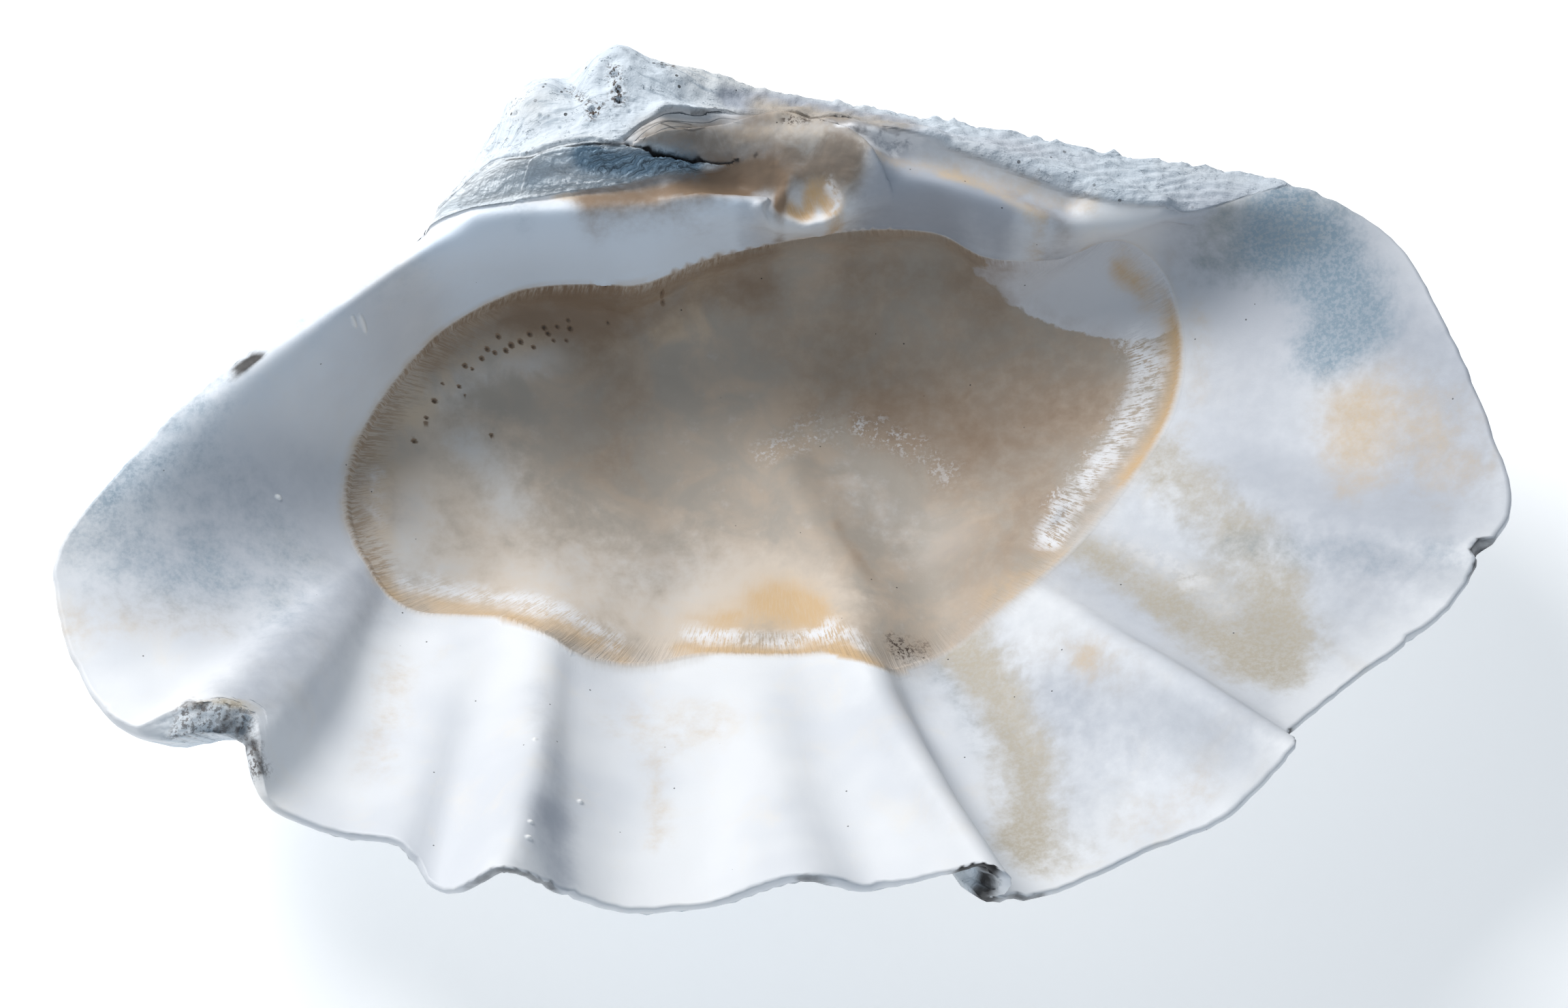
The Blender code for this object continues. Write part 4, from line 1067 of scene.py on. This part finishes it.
def shell_material():
    """One finish for the whole valve, told apart by the surface's own numbers."""
    material = bpy.data.materials.new("shell_finish")
    material.use_nodes = True
    n = Nodes(material)
    shader = material.node_tree.nodes["Principled BSDF"]
    place = n.add("ShaderNodeTexCoord", output="Object")
    broad = n.noise(place, 9.0, 3.0)
    cloudy = n.noise(place, 34.0, 5.0, 0.6, 0.6)
    patchy = n.noise(place, 120.0, 5.0, 0.65)
    mottle = n.noise(place, 420.0, 4.0, 0.7)
    grain = n.noise(place, 900.0, 3.0)
    edge_flow = n.attribute("edge_flow", "Vector")
    streaks = n.noise(n.stretched(edge_flow, (0.42, 0.42, 0.05)), 1.0, 3.0, 0.6)
    strands = n.noise(n.stretched(edge_flow, (0.85, 0.85, 0.13)), 1.0, 3.0, 0.65, 0.4)
    margin_flow = n.attribute("margin_flow", "Vector")
    fibres = n.noise(n.stretched(margin_flow, (0.04, 0.04, 0.35)), 1.0, 4.0, 0.6)
    chalk, ligament, hollow, inward, above_band, layer = (
        n.attribute(name) for name in ("chalk", "ligament", "hollow", "inward", "above_band", "layer"))
    blue_and_shade = n.attribute("stain_blue_and_shade")
    bristle = n.attribute("stain_bristle")
    lilac_and_shade = n.step(n.attribute("stain_lilac_and_shade"), 0.0, 1.0)

    def stain_and_shading(name, edge=0.9):
        """The share of a named set of strokes (a stain, painted shade, painted light), with an edge broken
        up by noise.
        """
        value = n.attribute("stain_" + name)
        loose = n.math("MULTIPLY_ADD", cloudy, edge, -0.5 * edge)
        ragged = n.math("MULTIPLY_ADD", patchy, 0.9 * edge, -0.45 * edge)
        drift = n.times(n.math("ADD", loose, ragged), n.step(value, 0.02, 0.3))
        return n.step(n.math("ADD", value, drift), 0.05, 1.05)

    def mottled(share, least):
        return n.times(share, n.step(mottle, 0.38, 0.60, least, 1.0))

    # Porcelain of the slope, its lilac partly painted shade, and the grey floor of the hollow, which meet at
    # a loose edge
    porcelain = n.over(PORCELAIN, (n.step(broad, 0.42, 0.66), PORCELAIN_DIM),
                       (n.step(cloudy, 0.5, 0.8, 0.0, 0.45), CREAM), (lilac_and_shade, LILAC_AND_SHADE))
    floor = n.over(HOLLOW_GREY, (n.step(cloudy, 0.35, 0.7), HOLLOW_WARM),
                   (n.step(patchy, 0.55, 0.8, 0.0, 0.35), PALE), (stain_and_shading("cream"), HOLLOW_CREAM))
    loose = n.times(n.attribute("fringe"), n.math("MULTIPLY_ADD", strands, 8.0, -4.0))
    edge = n.math("ADD", inward, loose)
    blur = n.step(n.attribute("stain_blur"), 0.15, 0.75)
    into = n.between(blur, n.step(edge, -1.0, 3.0), n.step(edge, -13.0, 13.0))
    into = n.times(into, n.math("MAXIMUM", hollow, blur))
    glow = n.times(n.step(inward, -9.0, -0.3, 0.0, 0.8), n.step(bristle, 0.1, 0.6),
                   n.step(cloudy, 0.35, 0.65))
    ground = n.over(
        porcelain,
        (n.step(inward, -6.0, 0.0, 0.0, 0.35), HOLLOW_CREAM),
        (into, floor),
        (n.step(stain_and_shading("scar", 0.35), 0.34, 0.44, 0.0, 0.9), SCAR),
        (stain_and_shading("pale"), PALE),
        (stain_and_shading("sky", 0.4), PAINTED_SKYLIGHT),
        # Painted light and painted shade: the sky strokes brighten faces turned from the lamp, the shade
        # strokes darken shaded faces
        (stain_and_shading("shade", 0.4), SHADE),
        (stain_and_shading("dun", 0.5), n.mix(n.step(cloudy, 0.45, 0.65), DUN, DUN_PALE)),
        (mottled(stain_and_shading("tan"), 0.8), TAN),
        (mottled(stain_and_shading("olive", 1.1), 0.75), OLIVE),
        (glow, TAN),
        (n.times(stain_and_shading("orange", 0.6), n.step(strands, 0.3, 0.6, 0.75, 1.0)), ORANGE),
    )
    # Bristles at the hollow's edge, and the white flecks that comb it
    tuft = n.step(n.math("SUBTRACT", n.times(strands, 36.0), inward), -1.0, 14.0)
    tuft = n.times(tuft, hollow, n.step(bristle, 0.1, 0.7), 0.85)
    fringe = n.times(n.step(inward, 0.5, 13.0, 1.0, 0.0), hollow)
    kept = n.math("MULTIPLY_ADD", n.between(fringe, 1.0, n.step(streaks, 0.35, 0.62)), 0.7, 0.3)
    combed = n.step(n.math("MULTIPLY_ADD", patchy, 0.35, strands), 0.58, 0.70)
    fine_flecks = n.step(n.math("MULTIPLY_ADD", patchy, 0.6, mottle), 0.80, 0.92)
    near_edge = n.math("MAXIMUM", combed, n.times(fine_flecks, 0.7))
    flecks = n.between(n.step(inward, 26.0, 34.0), near_edge, fine_flecks)
    flecks = n.between(hollow, n.step(patchy, 0.35, 0.55), flecks)
    # Thin plates show as dark lines
    sheet = n.math("FRACT", n.math("MULTIPLY_ADD", cloudy, 0.5, n.math("DIVIDE", above_band, PLATE_GAP)))
    sheet_line = n.times(n.attribute("plates"), n.step(above_band, -13.0, -9.0),
                         n.step(sheet, 0.02, 0.14, 1.0, 0.0))
    ground = n.over(
        ground,
        (tuft, n.mix(n.step(strands, 0.42, 0.56), BRISTLE_PALE, BRISTLE)),
        (n.times(stain_and_shading("brown", 0.6), kept), BROWN),
        # Blue stain, partly painted bluish shade on the wings
        (mottled(stain_and_shading("blue_and_shade"), 0.6), BLUE_AND_SHADE),
        (n.times(stain_and_shading("white", 1.0), flecks), WHITE),
        (sheet_line, LIGAMENT_DARK),
    )

    # Chalk, with hair lines, growth lines and clustered specks
    thread = n.noise(n.stretched(place, (1.0, 2.6, 2.6)), 60.0, 4.0, 0.65)
    hair = n.step(n.math("ABSOLUTE", n.math("SUBTRACT", thread, 0.5)), 0.004, 0.016, 0.8, 0.0)
    slanted = n.math("MULTIPLY_ADD", cloudy, 0.3, n.attribute("slanted"))
    growth_line = n.step(n.math("FRACT", slanted), 0.0, 0.16, 0.65, 0.0)
    fine_line = n.step(n.math("FRACT", n.times(slanted, 6.0)), 0.0, 0.35, 0.4, 0.0)
    lines = n.times(n.math("MAXIMUM", growth_line, fine_line), n.step(patchy, 0.40, 0.60),
                    n.attribute("crest"))
    specks = n.math("LESS_THAN", n.cells(place, 160.0), 0.16)
    clustered = n.step(n.noise(place, 45.0, 2.0), 0.5, 0.62)
    bare = n.over(
        CHALK,
        (n.step(broad, 0.4, 0.65), CHALK_WARM),
        (n.step(fibres, 0.52, 0.72, 0.0, 0.75), CHALK_GREY),
        (n.times(hair, n.step(patchy, 0.46, 0.60)), INK),
        (lines, CHALK_GREY),
        (n.times(specks, clustered, 0.85), DARK),
        # Painted shade on the chalk: the lilac and shade strokes, partly the chalk's own grey
        (n.times(lilac_and_shade, 0.8), LILAC_AND_SHADE),
        (stain_and_shading("shade", 0.4), SHADE),
        (stain_and_shading("dun", 0.5), DUN_PALE),
        (n.times(stain_and_shading("tan"), 0.4), TAN),
        (n.times(stain_and_shading("brown"), 0.6), BROWN),
    )

    # Layers of the ligament
    wave = n.math("FRACT", n.math("MULTIPLY_ADD", patchy, 0.9, layer))
    fine_wave = n.math("FRACT", n.math("MULTIPLY_ADD", layer, 3.7, cloudy))
    seam = n.math("MAXIMUM", n.step(wave, 0.0, 0.28, 1.0, 0.0), n.step(fine_wave, 0.0, 0.4, 0.7, 0.0))
    clean = n.step(n.attribute("stain_white"), 0.1, 0.6, 1.0, 0.15)
    bold = n.times(n.step(blue_and_shade, 0.4, 0.9, 0.22, 0.85), clean)
    sheets = n.over(LIGAMENT_PALE, (n.step(blue_and_shade, 0.05, 0.95), LIGAMENT_BLUE),
                    (n.times(seam, bold), LIGAMENT_DARK))
    dots = n.math("LESS_THAN", n.cells(place, 62.0), 0.030)
    colour = n.over(
        ground,
        (chalk, bare),
        (n.times(dots, n.step(broad, 0.42, 0.5, 0.0, 0.8)), DARK),
        (ligament, sheets),
        (n.attribute("fracture"), n.mix(n.step(patchy, 0.5, 0.66), FRACTURE, CHALK_GREY)),
        # Dark marks, partly painted shade in crevices, bores and the hollows at the folds' ends
        (stain_and_shading("dark", 0.5), DARK),
        (n.times(stain_and_shading("soot", 0.8), n.step(mottle, 0.49, 0.56)), SOOT),
        (n.attribute("stain_bead"), BEAD),
    )
    n.feed(shader.inputs["Base Color"], colour)

    rough = n.math("MULTIPLY_ADD", hollow, 0.10, n.step(patchy, 0.3, 0.7, 0.44, 0.56))
    rough = n.between(ligament, n.between(chalk, rough, 0.85), 0.65)
    n.feed(shader.inputs["Roughness"], rough)
    shader.inputs["Specular IOR Level"].default_value = 0.35

    soft = n.math("MULTIPLY_ADD", patchy, 0.12, n.times(grain, 0.03))
    coarse = n.math("ADD", n.times(fibres, 0.9), n.math("MULTIPLY_ADD", grain, 0.25, patchy))
    relief = n.between(n.math("MAXIMUM", chalk, ligament), soft, coarse)
    layered = n.times(n.math("MULTIPLY_ADD", fine_wave, 0.35, wave), ligament)
    bristles = n.times(streaks, hollow, n.step(inward, 2.0, 24.0, 1.1, 0.0))
    relief = n.math("ADD", n.math("ADD", relief, layered), bristles)
    n.feed(shader.inputs["Normal"], n.bump(relief, BUMP_DEPTH))
    return material


def add_valve(low, high):
    data = build_valve_mesh(low, high)
    piece = bpy.data.objects.new("valve_surface", data)
    bpy.context.scene.collection.objects.link(piece)
    data.materials.append(shell_material())
    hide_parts("valve")
    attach(piece, "root")
    return piece


# Camera: its aim, its height angle above the floor and its distance, in metres
AIM = (-0.0005, -0.0082, 0.12)
ELEVATION = 62.0
DISTANCE = 1.60
LENS = 70.0


def add_camera():
    data = bpy.data.cameras.new("camera")
    data.lens = LENS
    data.sensor_width = 36.0
    camera = bpy.data.objects.new("camera", data)
    tilt = math.radians(ELEVATION)
    back = Vector((0.0, -math.cos(tilt), math.sin(tilt)))
    camera.location = Vector(AIM) + back * DISTANCE
    camera.rotation_euler = (-back).to_track_quat("-Z", "Y").to_euler()
    bpy.context.scene.collection.objects.link(camera)
    bpy.context.scene.camera = camera


# White paper under the shell: half its width in metres, its colour, and how much light it gives by itself
PAPER_REACH = 4.0
PAPER = (0.93, 0.93, 0.93, 1.0)
PAPER_GLOW = 0.4


def add_floor():
    mesh = bmesh.new()
    bmesh.ops.create_grid(mesh, x_segments=1, y_segments=1, size=PAPER_REACH)
    data = bpy.data.meshes.new("floor")
    mesh.to_mesh(data)
    mesh.free()
    floor = bpy.data.objects.new("floor", data)
    bpy.context.scene.collection.objects.link(floor)
    material = bpy.data.materials.new("floor_paper")
    material.use_nodes = True
    shader = material.node_tree.nodes["Principled BSDF"]
    shader.inputs["Base Color"].default_value = PAPER
    shader.inputs["Roughness"].default_value = 0.9
    shader.inputs["Emission Color"].default_value = (1.0, 1.0, 1.0, 1.0)
    shader.inputs["Emission Strength"].default_value = PAPER_GLOW
    data.materials.append(material)


# Lights: place and size in metres, power in watts and colour. Then the sky
LIGHTS = {
    "key": ((-1.1, 1.05, 1.5), 1.2, 46.0, (1.0, 0.985, 0.965)),
    "fill": ((0.3, -1.9, 1.5), 2.2, 7.0, (0.76, 0.88, 1.0)),
}
LIT_MIDDLE = (0.0, 0.0, 0.1)
SKY_COLOUR = (0.74, 0.87, 1.0, 1.0)
SKY_STRENGTH = 0.32


def add_light():
    for name, (place, size, power, colour) in LIGHTS.items():
        light = bpy.data.lights.new(name, "AREA")
        light.energy = power
        light.size = size
        light.color = colour
        lamp = bpy.data.objects.new(name, light)
        lamp.location = place
        lamp.rotation_euler = (Vector(LIT_MIDDLE) - Vector(place)).to_track_quat("-Z", "Y").to_euler()
        bpy.context.scene.collection.objects.link(lamp)
    world = bpy.data.worlds.new("studio")
    world.use_nodes = True
    sky = world.node_tree.nodes["Background"]
    sky.inputs["Color"].default_value = SKY_COLOUR
    sky.inputs["Strength"].default_value = SKY_STRENGTH
    bpy.context.scene.world = world
    bpy.context.scene.view_settings.view_transform = "Standard"


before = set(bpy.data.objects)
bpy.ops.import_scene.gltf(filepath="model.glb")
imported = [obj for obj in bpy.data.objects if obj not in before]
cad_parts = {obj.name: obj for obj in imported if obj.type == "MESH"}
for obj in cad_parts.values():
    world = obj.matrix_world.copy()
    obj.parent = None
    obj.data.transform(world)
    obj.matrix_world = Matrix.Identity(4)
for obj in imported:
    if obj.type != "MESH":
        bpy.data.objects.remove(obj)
cad_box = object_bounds()
add_camera()
add_floor()
add_light()
add_valve(*cad_box)
